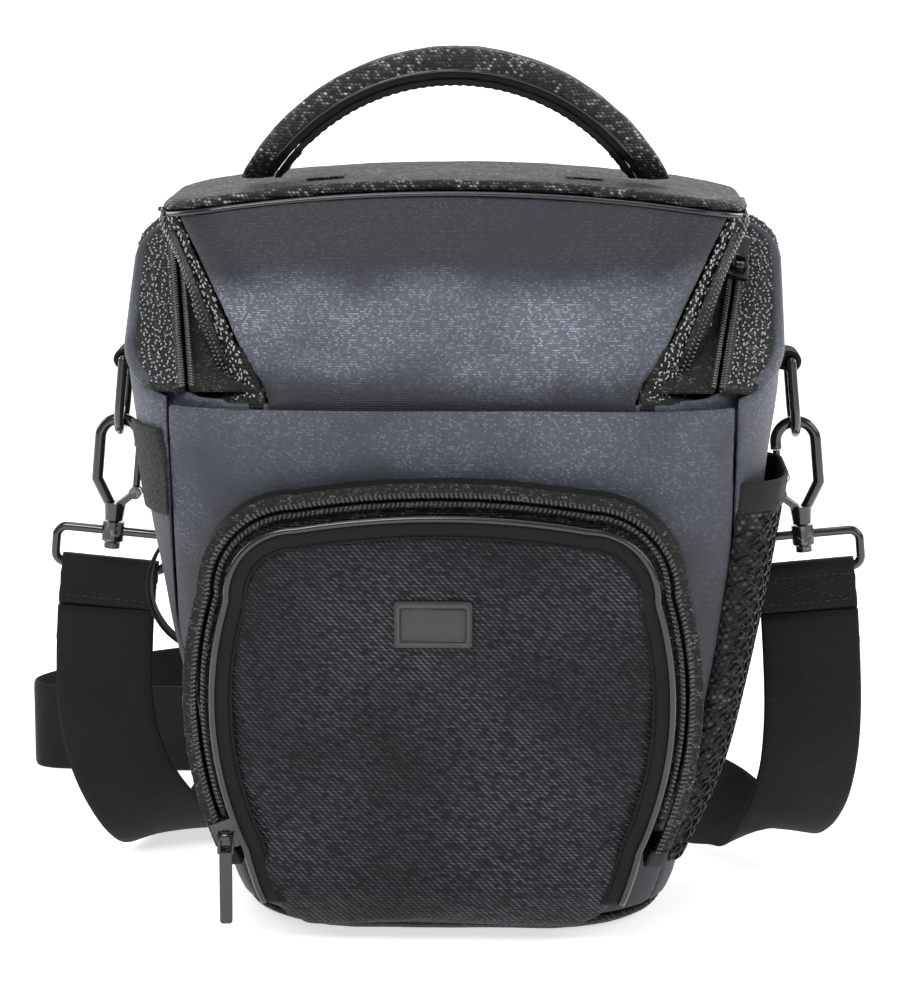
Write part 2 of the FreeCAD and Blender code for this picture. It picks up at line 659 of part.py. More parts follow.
# ---------------------------------------------------------------- main sliders
def main_slider_frame():
    """Placement on the right run of the main zip: z off the shoulder, y down the chain."""
    z = rim_z(MAIN_SLIDER_Y)
    along = Vector(ZIP_HALF_GROW * RIM_SLOPE, 1.0, RIM_SLOPE)
    along.normalize()
    lean = ZIP_HALF_GROW * math.cos(math.radians(RIM_TILT))
    out = Vector(lean, -math.sin(math.radians(RIM_TILT)), math.cos(math.radians(RIM_TILT)))
    out = out - along * out.dot(along)
    out.normalize()
    across = out.cross(along)
    x = ZIP_HALF_LOW + ZIP_HALF_GROW * (z - ZIP_LOW)
    m = Matrix(across.x, -along.x, out.x, x,
               across.y, -along.y, out.y, MAIN_SLIDER_Y,
               across.z, -along.z, out.z, z, 0, 0, 0, 1)
    return Placement(m)


def main_slider():
    """The crown covers both halves; the plate below it grips only the lid's half."""
    out = box(-4.2, 4.2, -5.0, 5.0, TEETH_H + 1.2, TEETH_H + 2.6)
    web = box(-0.25, 0.25, -3.6, 3.6, -TAPE_T - 2.0, TEETH_H + 1.4)
    back = box(-0.25, 3.2, -4.4, 4.4, -TAPE_T - 2.7, -TAPE_T - 1.4)
    eye = rod((-1.6, 0, MAIN_EYE), (1.6, 0, MAIN_EYE), 1.6)
    post = box(-1.6, 1.6, -1.1, 1.1, TEETH_H + 2.4, MAIN_EYE)
    piece = fuse([out, web, back, eye, post]).cut(rod((-3, 0, MAIN_EYE), (3, 0, MAIN_EYE), 0.8))
    piece.Placement = main_slider_frame().multiply(piece.Placement)
    return piece


def main_pull():
    piece = pull(MAIN_PULL[0], MAIN_PULL[1], MAIN_EYE)
    piece.Placement = main_slider_frame().multiply(piece.Placement)
    return piece


# ---------------------------------------------------------------- strap hardware
def leaned(shape):
    shape.rotate(Vector(BAR_X, 0, BAR_Z), Vector(0, 1, 0), -LEAN)
    return shape


def dring_tabs():
    patch = body(SLIP, -2.4).cut(body(SLIP, -0.2))
    patch = patch.common(box(60, 150, RING_Y - 9, RING_Y + 9, 186, 214))
    arm = box(121.6, BAR_X, RING_Y - 9, RING_Y + 9, BAR_Z + 2.6, BAR_Z + 4.2)
    loop = rod((BAR_X, RING_Y - 9, BAR_Z), (BAR_X, RING_Y + 9, BAR_Z), 4.2)
    low = box(121.0, BAR_X - 2.9, RING_Y - 9, RING_Y + 9, BAR_Z - 3.0, BAR_Z + 3.0)
    hole = rod((BAR_X, RING_Y - 20, BAR_Z), (BAR_X, RING_Y + 20, BAR_Z), 2.3)
    tab = fuse([patch, arm, loop, low]).cut(hole).cut(body(SLIP, -0.2))
    return Part.makeCompound([tab, mirrored(tab)])


def d_ring():
    bend_z = BAR_Z - 18.0
    pieces = [rod((BAR_X, RING_Y - D_HALF, BAR_Z), (BAR_X, RING_Y + D_HALF, BAR_Z), D_WIRE)]
    for s in (-1, 1):
        y = RING_Y + s * D_HALF
        pieces.append(rod((BAR_X, y, bend_z), (BAR_X, y, BAR_Z), D_WIRE))
        pieces.append(Part.makeSphere(D_WIRE, Vector(BAR_X, y, BAR_Z)))
    bow = Part.makeTorus(D_HALF, D_WIRE, Vector(BAR_X, RING_Y, bend_z), Vector(1, 0, 0))
    pieces.append(bow.common(box(100, 150, RING_Y - 30, RING_Y + 30, bend_z - 30, bend_z)))
    return leaned(fuse(pieces))


def hook_body():
    """Oval snap hook with an open side towards the bag, turned on a swivel post."""
    x = BAR_X
    y = RING_Y
    arc_z = HOOK_TOP - HOOK_HALF
    ring = Part.makeTorus(HOOK_HALF, HOOK_WIRE, Vector(x, y, arc_z), Vector(0, 1, 0))
    top = ring.common(box(x - 30, x + 30, y - 10, y + 10, arc_z, arc_z + 30))
    nose = rod((x - HOOK_HALF, y, arc_z - 2.4), (x - HOOK_HALF, y, arc_z), HOOK_WIRE)
    spine = rod((x + HOOK_HALF, y, GATE_Z + 4), (x + HOOK_HALF, y, arc_z), HOOK_WIRE)
    knee = Part.makeSphere(HOOK_WIRE, Vector(x + HOOK_HALF, y, GATE_Z + 4))
    leg = rod((x + 1.0, y, 146.5), (x + HOOK_HALF, y, GATE_Z + 4), HOOK_WIRE)
    stem = Part.makeCone(3.6, 4.4, 7.0, Vector(x, y, 142.2), Vector(0, 0, 1))
    post = rod((x, y, 131.0), (x, y, 143.0), 2.0)
    head = rod((x, y, 131.0), (x, y, 133.4), 3.2)
    cheeks = []
    for s in (-1, 1):
        cheek = rod((x - HOOK_HALF, y + s * 1.75, GATE_Z), (x - HOOK_HALF, y + s * 3.05, GATE_Z), 2.5)
        bar = rod((x, y + s * 2.4, 147.0), (x - HOOK_HALF, y + s * 2.4, GATE_Z), 1.3)
        y_in = y + min(s * 1.75, s * 3.05)
        cheeks += [cheek, bar.common(box(x - 20, x + 20, y_in, y_in + 1.3, 140, 160))]
    rivet = rod((x - HOOK_HALF, y - 3.0, GATE_Z), (x - HOOK_HALF, y + 3.0, GATE_Z), 0.95)
    return leaned(fuse([top, nose, spine, knee, leg, stem, post, head, rivet] + cheeks))


def gate():
    x = BAR_X - HOOK_HALF
    y = RING_Y
    low = rod((x, y - 1.5, GATE_Z), (x, y + 1.5, GATE_Z), 2.2)
    bar = rod((x, y, GATE_Z), (x, y, HOOK_TOP - HOOK_HALF - 2.8), 1.45)
    return leaned(fuse([low, bar]).cut(rod((x, y - 4, GATE_Z), (x, y + 4, GATE_Z), 1.05)))


def strap_ring():
    """Wide flat loop for the webbing, with a boss that the hook's post turns in."""
    x = BAR_X
    y = RING_Y
    r = 4.0
    pieces = [
        rod((x - RING_HALF + r, y, RING_TOP), (x + RING_HALF - r, y, RING_TOP), RING_WIRE),
        rod((x - RING_HALF + r, y, RING_LOW), (x + RING_HALF - r, y, RING_LOW), RING_WIRE),
    ]
    for s in (-1, 1):
        side = x + s * RING_HALF
        pieces.append(rod((side, y, RING_LOW + r), (side, y, RING_TOP - r), RING_WIRE))
        for z, lo, hi in ((RING_TOP - r, 0, 20), (RING_LOW + r, -20, 0)):
            bend = Part.makeTorus(r, RING_WIRE, Vector(side - s * r, y, z), Vector(0, 1, 0))
            xs = sorted((side - s * r, side + s * 20))
            pieces.append(bend.common(box(xs[0], xs[1], y - 9, y + 9, z + lo, z + hi)))
    boss = rod((x, y, 134.0), (x, y, 141.6), 4.4)
    bore = rod((x, y, 130.0), (x, y, 145.0), 2.3)
    return leaned(fuse(pieces + [boss]).cut(bore))


def strap_fold():
    """The webbing's sewn end: over the ring's lower bar and flat behind the strap."""
    x0 = BAR_X - STRAP_W * 0.5
    x1 = BAR_X + STRAP_W * 0.5
    mid = 3.15
    r0 = mid - STRAP_T * 0.5
    r1 = mid + STRAP_T * 0.5
    y = RING_Y
    over = rod((x0, y, RING_LOW), (x1, y, RING_LOW), r1)
    over = over.cut(rod((x0 - 1, y, RING_LOW), (x1 + 1, y, RING_LOW), r0))
    over = over.common(box(x0, x1, y - 9, y + 9, RING_LOW, RING_LOW + 9))
    front = box(x0, x1, y - r1, y - r0, FOLD_END, RING_LOW)
    slant = [Vector(x0, y + r0, RING_LOW), Vector(x0, y + r1, RING_LOW),
             Vector(x0, y - r0 + 0.2 + STRAP_T, FOLD_END + 4), Vector(x0, y - r0 + 0.2, FOLD_END + 4)]
    slant.append(slant[0])
    back = Part.Face(Part.makePolygon(slant)).extrude(Vector(STRAP_W, 0, 0))
    tail = box(x0, x1, y - r0 + 0.2, y - r0 + 0.2 + STRAP_T, FOLD_END - 16, FOLD_END + 4)
    return leaned(fuse([over, front, back, tail]))


# ---------------------------------------------------------------- side details
def mesh_bulge(z):
    rise = max(0.0, min(1.0, (z - 22.0) / 50.0))
    return -(1.6 + 6.4 * math.sin(rise * math.pi / 2))


def mesh_pocket():
    """A stretch-mesh bottle pocket on the right side, closed round three edges."""
    outer = body(SLIP, lambda z: mesh_bulge(z), MESH_HEIGHTS)
    skin = outer.cut(body(SLIP, lambda z: mesh_bulge(z) + 1.2, MESH_HEIGHTS))
    zone = box(60, 160, MESH_Y[0], MESH_Y[1], MESH_Z[0], MESH_Z[1])
    rims = fuse([box(60, 160, MESH_Y[0], MESH_Y[0] + 1.5, MESH_Z[0], MESH_Z[1]),
                 box(60, 160, MESH_Y[1] - 1.5, MESH_Y[1], MESH_Z[0], MESH_Z[1]),
                 box(60, 160, MESH_Y[0], MESH_Y[1], MESH_Z[0], MESH_Z[0] + 1.5)])
    walls = outer.common(rims).cut(body(SLIP, -0.25))
    whole = skin.common(zone).fuse(walls).cut(body(SLIP, -0.25)).removeSplitter()
    return max(whole.Solids, key=lambda s: s.Volume)


def mesh_hem():
    """The elastic hem round the mesh pocket's mouth."""
    outer = body(SLIP, lambda z: mesh_bulge(z) - 0.6, MESH_HEIGHTS)
    skin = outer.cut(body(SLIP, lambda z: mesh_bulge(z) + 1.4, MESH_HEIGHTS))
    low = MESH_Z[1] + 0.1
    high = MESH_Z[1] + HEM_HEIGHT
    zone = box(60, 160, MESH_Y[0], MESH_Y[1], low, high)
    ends = fuse([box(60, 160, MESH_Y[0], MESH_Y[0] + 2.0, low, high),
                 box(60, 160, MESH_Y[1] - 2.0, MESH_Y[1], low, high)])
    walls = outer.common(ends).cut(body(SLIP, -0.25))
    whole = skin.common(zone).fuse(walls).cut(body(SLIP, -0.25)).removeSplitter()
    return max(whole.Solids, key=lambda s: s.Volume)


def loop_tape_patch():
    shell = body(SLIP, -2.0).cut(body(SLIP, -0.2))
    patch = shell.common(box(COVER_SEAM_X + 1, 150, -52, -27, 159, 192))
    return mirrored(max(patch.Solids, key=lambda s: s.Volume))


def accessory_loop():
    """A small webbing loop bowed out of the left side."""
    z0 = 98.0
    z1 = 138.0
    a = Vector(-(half_width(z0) + 0.3), 2, z0)
    b = Vector(-(half_width(z1) + 0.3), 2, z1)
    m = (a + b) * 0.5 + Vector(-9.5, 0, 0)
    shift = Vector(-1.6, 0, 0)
    inner = Part.Arc(a, m, b).toShape()
    outer = Part.Arc(a + shift, m + shift, b + shift).toShape()
    low = Part.LineSegment(a, a + shift).toShape()
    high = Part.LineSegment(b, b + shift).toShape()
    face = Part.Face(Part.Wire(Part.__sortEdges__([inner, high, outer, low])))
    return face.extrude(Vector(0, 10, 0)).cut(body(SLIP, -0.25))


# ---------------------------------------------------------------- shoulder strap
def stations(route):
    """Points along straight runs joined by tangent arcs, with the direction across."""
    points = [Vector(*p) for p, _ in route]
    across = [Vector(*w) for _, w in route]
    found = [(points[0], (points[1] - points[0]), across[0])]
    radii = []
    for k in range(1, len(points) - 1):
        before = points[k] - points[k - 1]
        after = points[k + 1] - points[k]
        trim = 0.45 * min(before.Length, after.Length)
        u = Vector(before).normalize()
        v = Vector(after).normalize()
        turn = u.getAngle(v)
        radii.append(round(trim / math.tan(turn * 0.5)) if turn > 0.02 else 9999)
        steps = 5
        for j in range(steps):
            t = j / (steps - 1.0)
            a = points[k] - u * trim * (1 - t)
            b = points[k] + v * trim * t
            place = a + (b - a) * t
            share = 0.45 * (t - 0.5)
            other = across[k + 1] if share > 0 else across[k - 1]
            width = across[k] * (1 - abs(share)) + other * abs(share)
            found.append((place, u * (1 - t) + v * t, width))
    found.append((points[-1], points[-1] - points[-2], across[-1]))
    return found, radii


def ribbon(route):
    wires = []
    found, radii = stations(route)
    length = 0.0
    for k, (place, tangent, width) in enumerate(found):
        tangent = Vector(tangent).normalize()
        side = width - tangent * width.dot(tangent)
        side = side.normalize() * (STRAP_W * 0.5)
        thick = tangent.cross(side).normalize() * (STRAP_T * 0.5)
        corners = [place + side + thick, place - side + thick, place - side - thick, place + side - thick]
        wires.append(corners)
        if k:
            length += (place - found[k - 1][0]).Length
    faces = [cap(wires[0]), cap(wires[-1])]
    for low, high in zip(wires[:-1], wires[1:]):
        for k in range(4):
            a, b, c, d = low[k], low[(k + 1) % 4], high[(k + 1) % 4], high[k]
            faces.append(Part.Face(Part.makePolygon([a, b, c, a])))
            faces.append(Part.Face(Part.makePolygon([a, c, d, a])))
    solid = Part.makeSolid(Part.makeShell(faces))
    if solid.Volume < 0:
        solid.reverse()
    print("strap radii", radii, "length", round(length, 1), "valid", solid.isValid(),
          "volume over section x length", round(solid.Volume / (length * STRAP_W * STRAP_T), 3))
    return solid


def cap(corners):
    return Part.Face(Part.makePolygon(corners + [corners[0]]))


def strap_adjuster():
    """Three-bar slide on the webbing: outer bars on one face, middle bar on the other."""
    rails = [box(-15.5, 15.5, -2.6, 2.6, -22.5, -19.4), box(-15.5, 15.5, -2.6, 2.6, 19.4, 22.5)]
    bars = [box(-15.5, -11.5, -2.8, -1.0, -21, 21), box(11.5, 15.5, -2.8, -1.0, -21, 21),
            box(-2.2, 2.2, 1.0, 2.8, -21, 21)]
    piece = fuse(rails + bars)
    direction = Vector(*ADJUSTER_DIRECTION)
    turn = math.degrees(math.atan2(direction.y, direction.x)) + 180.0
    piece.rotate(Vector(0, 0, 0), Vector(0, 0, 1), turn)
    piece.translate(Vector(*ADJUSTER_AT))
    return piece


# ---------------------------------------------------------------- write every node
def main():
    save("base_panel", base_panel())
    save("front_cover", front_cover())
    save("front_wall", front_wall())
    save("back_panel", back_panel())
    for side, word in ((-1, "left"), (1, "right")):
        save("side_panel_" + word, side_panel(side))
        save("lid_side_band_" + word, lid_side_band(side))
    save("expansion_zips", expansion_zips())
    save("handle_anchors", handle_anchors())
    for word in ("front", "back", "sides"):
        save("liner_" + word, liner(word))
    save("liner_base", liner_base())
    save("lens_divider", lens_divider())
    save("back_pad", back_pad())
    save("belt_loop", belt_loop())
    save("main_zip_body_half", main_zip_body_half())
    save("main_zip_lid_half", main_zip_lid_half())
    save("lid_front_panel", lid_front_panel())
    save("lid_back_strip", lid_back_strip())
    save("lid_top_panel", lid_top_panel())
    save("lid_foam", lid_foam())
    save("lid_piping", lid_piping())
    save("handle_cover", handle_cover())
    save("handle_core", handle_core())
    save("handle_base_strip", handle_base_strip())
    save("pocket_gusset", pocket_gusset())
    save("pocket_zip_outer", pocket_zip_outer())
    save("pocket_zip_inner", pocket_zip_inner())
    save("zip_end_tabs", zip_end_tabs())
    save("pocket_flap_panel", pocket_flap_panel())
    save("pocket_flap_binding", pocket_flap_binding())
    save("pocket_badge", pocket_badge())
    save("pocket_lower_panel", pocket_lower_panel())
    save("pocket_slider", pocket_slider())
    save("pocket_pull", pocket_pull())
    save("main_slider", main_slider())
    save("main_pull", main_pull())
    save("dring_tabs", dring_tabs())
    for side, word in ((-1, "left"), (1, "right")):
        for name, maker in (("d_ring", d_ring), ("hook_body", hook_body), ("hook_gate", gate),
                            ("strap_ring", strap_ring), ("strap_fold", strap_fold)):
            shape = maker()
            save(name + "_" + word, shape if side > 0 else mirrored(shape))
    save("mesh_pocket", mesh_pocket())
    save("mesh_hem", mesh_hem())
    save("loop_tape_patch", loop_tape_patch())
    save("accessory_loop", accessory_loop())
    save("strap_left", ribbon(STRAP_LEFT))
    save("strap_right", ribbon(STRAP_RIGHT))
    save("strap_adjuster", strap_adjuster())


main()
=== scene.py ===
import bpy
import json
import math
import random
import numpy as np
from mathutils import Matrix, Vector, noise
from mathutils.bvhtree import BVHTree


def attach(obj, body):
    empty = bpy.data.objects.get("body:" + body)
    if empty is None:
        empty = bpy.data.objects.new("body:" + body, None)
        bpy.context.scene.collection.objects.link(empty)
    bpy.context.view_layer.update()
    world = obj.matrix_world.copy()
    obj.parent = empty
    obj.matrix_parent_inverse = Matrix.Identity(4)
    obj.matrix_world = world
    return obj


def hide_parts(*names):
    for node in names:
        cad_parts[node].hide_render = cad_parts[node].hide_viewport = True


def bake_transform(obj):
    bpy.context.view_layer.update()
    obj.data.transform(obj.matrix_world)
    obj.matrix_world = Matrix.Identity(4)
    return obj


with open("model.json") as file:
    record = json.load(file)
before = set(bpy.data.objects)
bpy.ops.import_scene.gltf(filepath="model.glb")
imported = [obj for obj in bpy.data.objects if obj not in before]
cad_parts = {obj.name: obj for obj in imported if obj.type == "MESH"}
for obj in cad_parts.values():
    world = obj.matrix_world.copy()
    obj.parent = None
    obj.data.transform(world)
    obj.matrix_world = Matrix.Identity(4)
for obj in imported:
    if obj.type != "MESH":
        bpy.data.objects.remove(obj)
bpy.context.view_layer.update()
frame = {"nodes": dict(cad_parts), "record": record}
MM = 0.001
random.seed(7)
scene = bpy.context.scene
ROOT = "bag"


# ---------------------------------------------------------------- the bag's own shape, in millimetres
def half_width(z):
    return 86.0 + 0.262 * (z - 20.0) - 0.00042 * (z - 20.0) ** 2


def front_y(z):
    return -42.0 - 0.075 * z


def back_y(z):
    return 50.0 + 0.055 * z


def rim_z(y):
    return 204.0 + 0.48 * (y + 57.5)


SLIP = 9.0
POCKET_TILT = math.atan(0.075)
POCKET_SIN = math.sin(POCKET_TILT)
POCKET_COS = math.cos(POCKET_TILT)


def pocket_point(u, v, w):
    """A point of the front pocket: u across, v up the cover, w outwards."""
    y = front_y(0.0) - SLIP - POCKET_SIN * v - POCKET_COS * w
    return Vector((u - 3.0, y, POCKET_COS * v - POCKET_SIN * w)) * MM


POCKET_OUT = Vector((0.0, -POCKET_COS, -POCKET_SIN))


def arc3(a, b, c, steps):
    """Points on the circle through three points, from a to c."""
    ax, ay = a
    bx, by = b
    cx, cy = c
    d = 2.0 * (ax * (by - cy) + bx * (cy - ay) + cx * (ay - by))
    a2 = ax * ax + ay * ay
    b2 = bx * bx + by * by
    c2 = cx * cx + cy * cy
    ux = (a2 * (by - cy) + b2 * (cy - ay) + c2 * (ay - by)) / d
    uy = (a2 * (cx - bx) + b2 * (ax - cx) + c2 * (bx - ax)) / d
    r = math.hypot(ax - ux, ay - uy)
    t0 = math.atan2(ay - uy, ax - ux)
    t1 = math.atan2(by - uy, bx - ux)
    t2 = math.atan2(cy - uy, cx - ux)
    whole = (t2 - t0) % (2 * math.pi)
    if (t1 - t0) % (2 * math.pi) > whole:
        whole -= 2 * math.pi
    angles = [t0 + whole * k / steps for k in range(steps + 1)]
    return [(ux + r * math.cos(t), uy + r * math.sin(t)) for t in angles]


def pocket_side():
    """The left half of the pocket's zip line, from its foot to the top, as (u, v)."""
    cu, cv, radius = 54.0, 95.0, 143.0
    foot = (cu - math.sqrt(radius ** 2 - (cv - 38.0) ** 2), 38.0)
    shoulder = (cu - math.sqrt(radius ** 2 - (136.0 - cv) ** 2), 136.0)
    side = arc3(foot, (cu - radius, cv), shoulder, 24)
    side += arc3(shoulder, (-76.0, 156.0), (-53.0, 167.0), 16)[1:]
    side += arc3((-53.0, 167.0), (0.0, 171.5), (53.0, 167.0), 20)[1:11]
    return side


def pocket_line(low_v):
    left = [p for p in pocket_side() if p[1] >= low_v]
    return left + [(-u, v) for u, v in reversed(left[:-1])]


def offset_line(line, distance):
    """A line moved sideways, to the left of its own direction."""
    moved = []
    for k, (u, v) in enumerate(line):
        a = line[max(k - 1, 0)]
        b = line[min(k + 1, len(line) - 1)]
        d = math.hypot(b[0] - a[0], b[1] - a[1])
        moved.append((u - (b[1] - a[1]) / d * distance, v + (b[0] - a[0]) / d * distance))
    return moved


def main_zip_line(offset):
    """The main zip's slot on the sloping shoulder, right front round the back to left front."""
    right = []
    for k in range(31):
        y = -52.0 + k * (35.0 + 52.0) / 30.0
        z = rim_z(y)
        right.append((94.0 + 0.30 * (z - 200.0) + offset, y, z))
    half = right[-1][0]
    corner = 20.0 + offset
    for k in range(1, 9):
        t = math.pi / 2 * k / 8
        x = half - corner + corner * math.cos(t)
        y = 35.0 + corner * math.sin(t)
        right.append((x, y, rim_z(y)))
    back = [(x, 55.0 + offset, rim_z(55.0 + offset)) for x in np.linspace(half - corner, 0.0, 14)[1:]]
    right += back
    left = [(-x, y, z) for x, y, z in reversed(right[:-1])]
    return [Vector(p) * MM for p in right + left]


# ---------------------------------------------------------------- meshes
def make_object(name, vertices, faces, smooth=True):
    mesh = bpy.data.meshes.new(name)
    mesh.from_pydata([tuple(v) for v in vertices], [], faces)
    mesh.update()
    if smooth:
        mesh.shade_smooth()
    obj = bpy.data.objects.new(name, mesh)
    scene.collection.objects.link(obj)
    return obj


def bake(obj):
    """Applies the object's modifiers."""
    graph = bpy.context.evaluated_depsgraph_get()
    mesh = bpy.data.meshes.new_from_object(obj.evaluated_get(graph))
    obj.modifiers.clear()
    obj.data = mesh
    return obj


def coordinates(obj):
    co = np.empty(len(obj.data.vertices) * 3)
    obj.data.vertices.foreach_get("co", co)
    return co.reshape(-1, 3)


def set_coordinates(obj, co):
    obj.data.vertices.foreach_set("co", np.asarray(co, float).ravel())
    obj.data.update()


def normals(obj):
    out = np.empty(len(obj.data.vertices) * 3)
    obj.data.vertex_normals.foreach_get("vector", out)
    return out.reshape(-1, 3)


def finish_piece(obj, material, body, stands_for=()):
    """Gives a piece its one material and its body, and hides the CAD nodes it stands for."""
    obj.data.materials.clear()
    obj.data.materials.append(material)
    if body is not None:
        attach(obj, body)
    if stands_for:
        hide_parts(*stands_for)
    return obj


def gathered(meshes):
    """The vertices and faces of several meshes, numbered as one."""
    vertices = []
    faces = []
    for mesh in meshes:
        base = len(vertices)
        vertices += [v.co.copy() for v in mesh.vertices]
        faces += [[base + i for i in p.vertices] for p in mesh.polygons]
    return vertices, faces


def copy_nodes(piece, names):
    """One new mesh from one or more of the frame's nodes."""
    obj = make_object(piece, *gathered([frame["nodes"][name].data for name in names]))
    weld = obj.modifiers.new("weld", "WELD")
    weld.merge_threshold = 1e-5
    return bake(obj)


def joined(name, parts):
    """One mesh from several, which are removed."""
    vertices, faces = gathered([part.data for part in parts])
    for part in parts:
        bpy.data.objects.remove(part)
    return make_object(name, vertices, faces)


def only_used(vertices, faces):
    """The vertices that some faces use, and those faces renumbered to match."""
    used = sorted({i for face in faces for i in face})
    index = {old: new for new, old in enumerate(used)}
    return [vertices[i] for i in used], [[index[i] for i in face] for face in faces]


def thicken(obj, thick, offset=-1.0):
    """Turns a sheet into a closed solid, thick in millimetres."""
    solid = obj.modifiers.new("thick", "SOLIDIFY")
    solid.thickness = thick * MM
    solid.offset = offset
    return bake(obj)


def grid_faces(rows, wide):
    """Quads between rows that have wide vertices each."""
    faces = []
    for j in range(rows - 1):
        for k in range(wide - 1):
            a = j * wide + k
            faces.append((a, a + 1, a + 1 + wide, a + wide))
    return faces


def remesh(obj, voxel, relax):
    grid = obj.modifiers.new("remesh", "REMESH")
    grid.mode = "VOXEL"
    grid.voxel_size = voxel * MM
    if relax:
        ease = obj.modifiers.new("ease", "SMOOTH")
        ease.iterations = relax
        ease.factor = 0.5
    bake(obj)
    obj.data.shade_smooth()
    return obj


def drop_faces(obj, unwanted):
    """Removes the faces whose centre the test picks."""
    kept = [tuple(p.vertices) for p in obj.data.polygons if not unwanted(p.center)]
    vertices, faces = only_used([v.co.copy() for v in obj.data.vertices], kept)
    mesh = bpy.data.meshes.new(obj.name)
    mesh.from_pydata(vertices, [], faces)
    mesh.shade_smooth()
    obj.data = mesh


def wrinkle(obj, height, size, seed, ridge):
    """Soft dents and swells, height and size in millimetres, along the surface's own normal."""
    co = coordinates(obj)
    n = normals(obj)
    move = np.empty(len(co))
    for k, p in enumerate(co):
        q = Vector(p) / (size * MM) + Vector((seed, seed * 1.7, -seed))
        value = noise.noise(q) + 0.45 * noise.noise(q * 2.3)
        if ridge:
            value -= ridge * (1.0 - abs(noise.noise(q * 0.9 + Vector((5, 0, 3)))) * 2.0) ** 4
        move[k] = value
    set_coordinates(obj, co + n * (move * height * MM)[:, None])
    return obj


CLOTH_STIFFNESS = 12.0
CLOTH_FRAMES = 20


def inflate(obj, pressure, cap):
    """Fills a closed fabric skin with air for a few steps, and keeps its swell under cap millimetres."""
    before = coordinates(obj)
    cloth = obj.modifiers.new("cloth", "CLOTH")
    s = cloth.settings
    s.quality = 4
    s.mass = 0.25
    s.tension_stiffness = CLOTH_STIFFNESS
    s.compression_stiffness = CLOTH_STIFFNESS
    s.shear_stiffness = CLOTH_STIFFNESS * 0.5
    s.bending_stiffness = 0.6
    s.use_pressure = True
    s.uniform_pressure_force = pressure
    s.effector_weights.gravity = 0.0
    cloth.point_cache.frame_start = 1
    cloth.point_cache.frame_end = CLOTH_FRAMES
    for number in range(1, CLOTH_FRAMES + 1):
        scene.frame_set(number)
    graph = bpy.context.evaluated_depsgraph_get()
    blown = obj.evaluated_get(graph).to_mesh()
    after = np.empty(len(blown.vertices) * 3)
    blown.vertices.foreach_get("co", after)
    obj.evaluated_get(graph).to_mesh_clear()
    obj.modifiers.clear()
    scene.frame_set(1)
    step = after.reshape(-1, 3) - before
    size = np.linalg.norm(step, axis=1)
    share = np.minimum(1.0, cap * MM / np.maximum(size, 1e-9))
    set_coordinates(obj, before + step * share[:, None])
    print("inflated", obj.name, "largest swell", round(float((size * share).max()) * 1000, 2), "mm")
    return obj


def subdivide(obj):
    sub = obj.modifiers.new("sub", "SUBSURF")
    sub.levels = 1
    sub.render_levels = 1
    bake(obj)
    obj.data.shade_smooth()
    return obj


def ring_faces(base, rings, around, closed=False):
    """Quads between rings of vertices that start at base, and a face on each open end."""
    faces = []
    for k in range(rings if closed else rings - 1):
        here = base + k * around
        there = base + (k + 1) % rings * around
        for j in range(around):
            beside = (j + 1) % around
            faces.append((here + j, here + beside, there + beside, there + j))
    if not closed:
        last = base + (rings - 1) * around
        faces.append(tuple(base + j for j in range(around))[::-1])
        faces.append(tuple(last + j for j in range(around)))
    return faces


def tube(name, points, radius, closed=False, ring=10):
    """A round cord along points."""
    vertices = []
    count = len(points)
    up = Vector((0.13, 0.21, 0.97)).normalized()
    for k, p in enumerate(points):
        a = points[(k - 1) % count] if closed or k > 0 else points[k]
        b = points[(k + 1) % count] if closed or k < count - 1 else points[k]
        t = (b - a).normalized()
        side = t.cross(up)
        if side.length < 0.05:
            side = t.cross(Vector((0, 1, 0)))
        side.normalize()
        other = side.cross(t)
        for j in range(ring):
            angle = 2 * math.pi * j / ring
            vertices.append(p + (side * math.cos(angle) + other * math.sin(angle)) * radius * MM)
    return make_object(name, vertices, ring_faces(0, count, ring, closed))


def distances(points):
    """How far along a line each of its points is."""
    gone = [0.0]
    for a, b in zip(points[:-1], points[1:]):
        gone.append(gone[-1] + (b - a).length)
    return gone


def resample(points, pitch):
    """Evenly spaced (place, direction) pairs along a polyline, pitch in millimetres."""
    out = []
    gone = 0.0
    due = pitch * 0.5 * MM
    for a, b in zip(points[:-1], points[1:]):
        length = (b - a).length
        if length < 1e-9:
            continue
        while due <= gone + length:
            out.append((a.lerp(b, (due - gone) / length), (b - a) / length))
            due += pitch * MM
        gone += length
    return out


BEAD_RING = 6


def beads(name, places, long, wide, high):
    """Many small rounded bars in one mesh: places are (centre, direction of length, up)."""
    vertices = []
    faces = []
    profile = [(-0.5, 0.45), (-0.3, 1.0), (0.3, 1.0), (0.5, 0.45)]
    for centre, along, up in places:
        side = along.cross(up).normalized()
        lift = side.cross(along).normalized()
        base = len(vertices)
        for s, r in profile:
            for j in range(BEAD_RING):
                angle = 2 * math.pi * j / BEAD_RING
                vertices.append(centre + along * (s * long * MM)
                                + side * (math.cos(angle) * r * wide * 0.5 * MM)
                                + lift * (math.sin(angle) * r * high * 0.5 * MM))
        faces += ring_faces(base, len(profile), BEAD_RING)
    return make_object(name, vertices, faces)


def surface_of(objects):
    """Search trees in which a ray can find these objects' surfaces."""
    trees = []
    for obj in objects:
        places = [v.co for v in obj.data.vertices]
        trees.append(BVHTree.FromPolygons(places, [p.vertices for p in obj.data.polygons]))
    return trees


def land(trees, start, direction, reach=0.2):
    """The first surface met from start along direction, as (place, normal towards start), or None."""
    best = None
    for tree in trees:
        place, normal, _, distance = tree.ray_cast(start, direction, reach)
        if place is not None and (best is None or distance < best[2]):
            best = (place, normal, distance)
    if best is None:
        return None
    place, normal, _ = best
    return place, -normal if normal.dot(direction) > 0 else normal


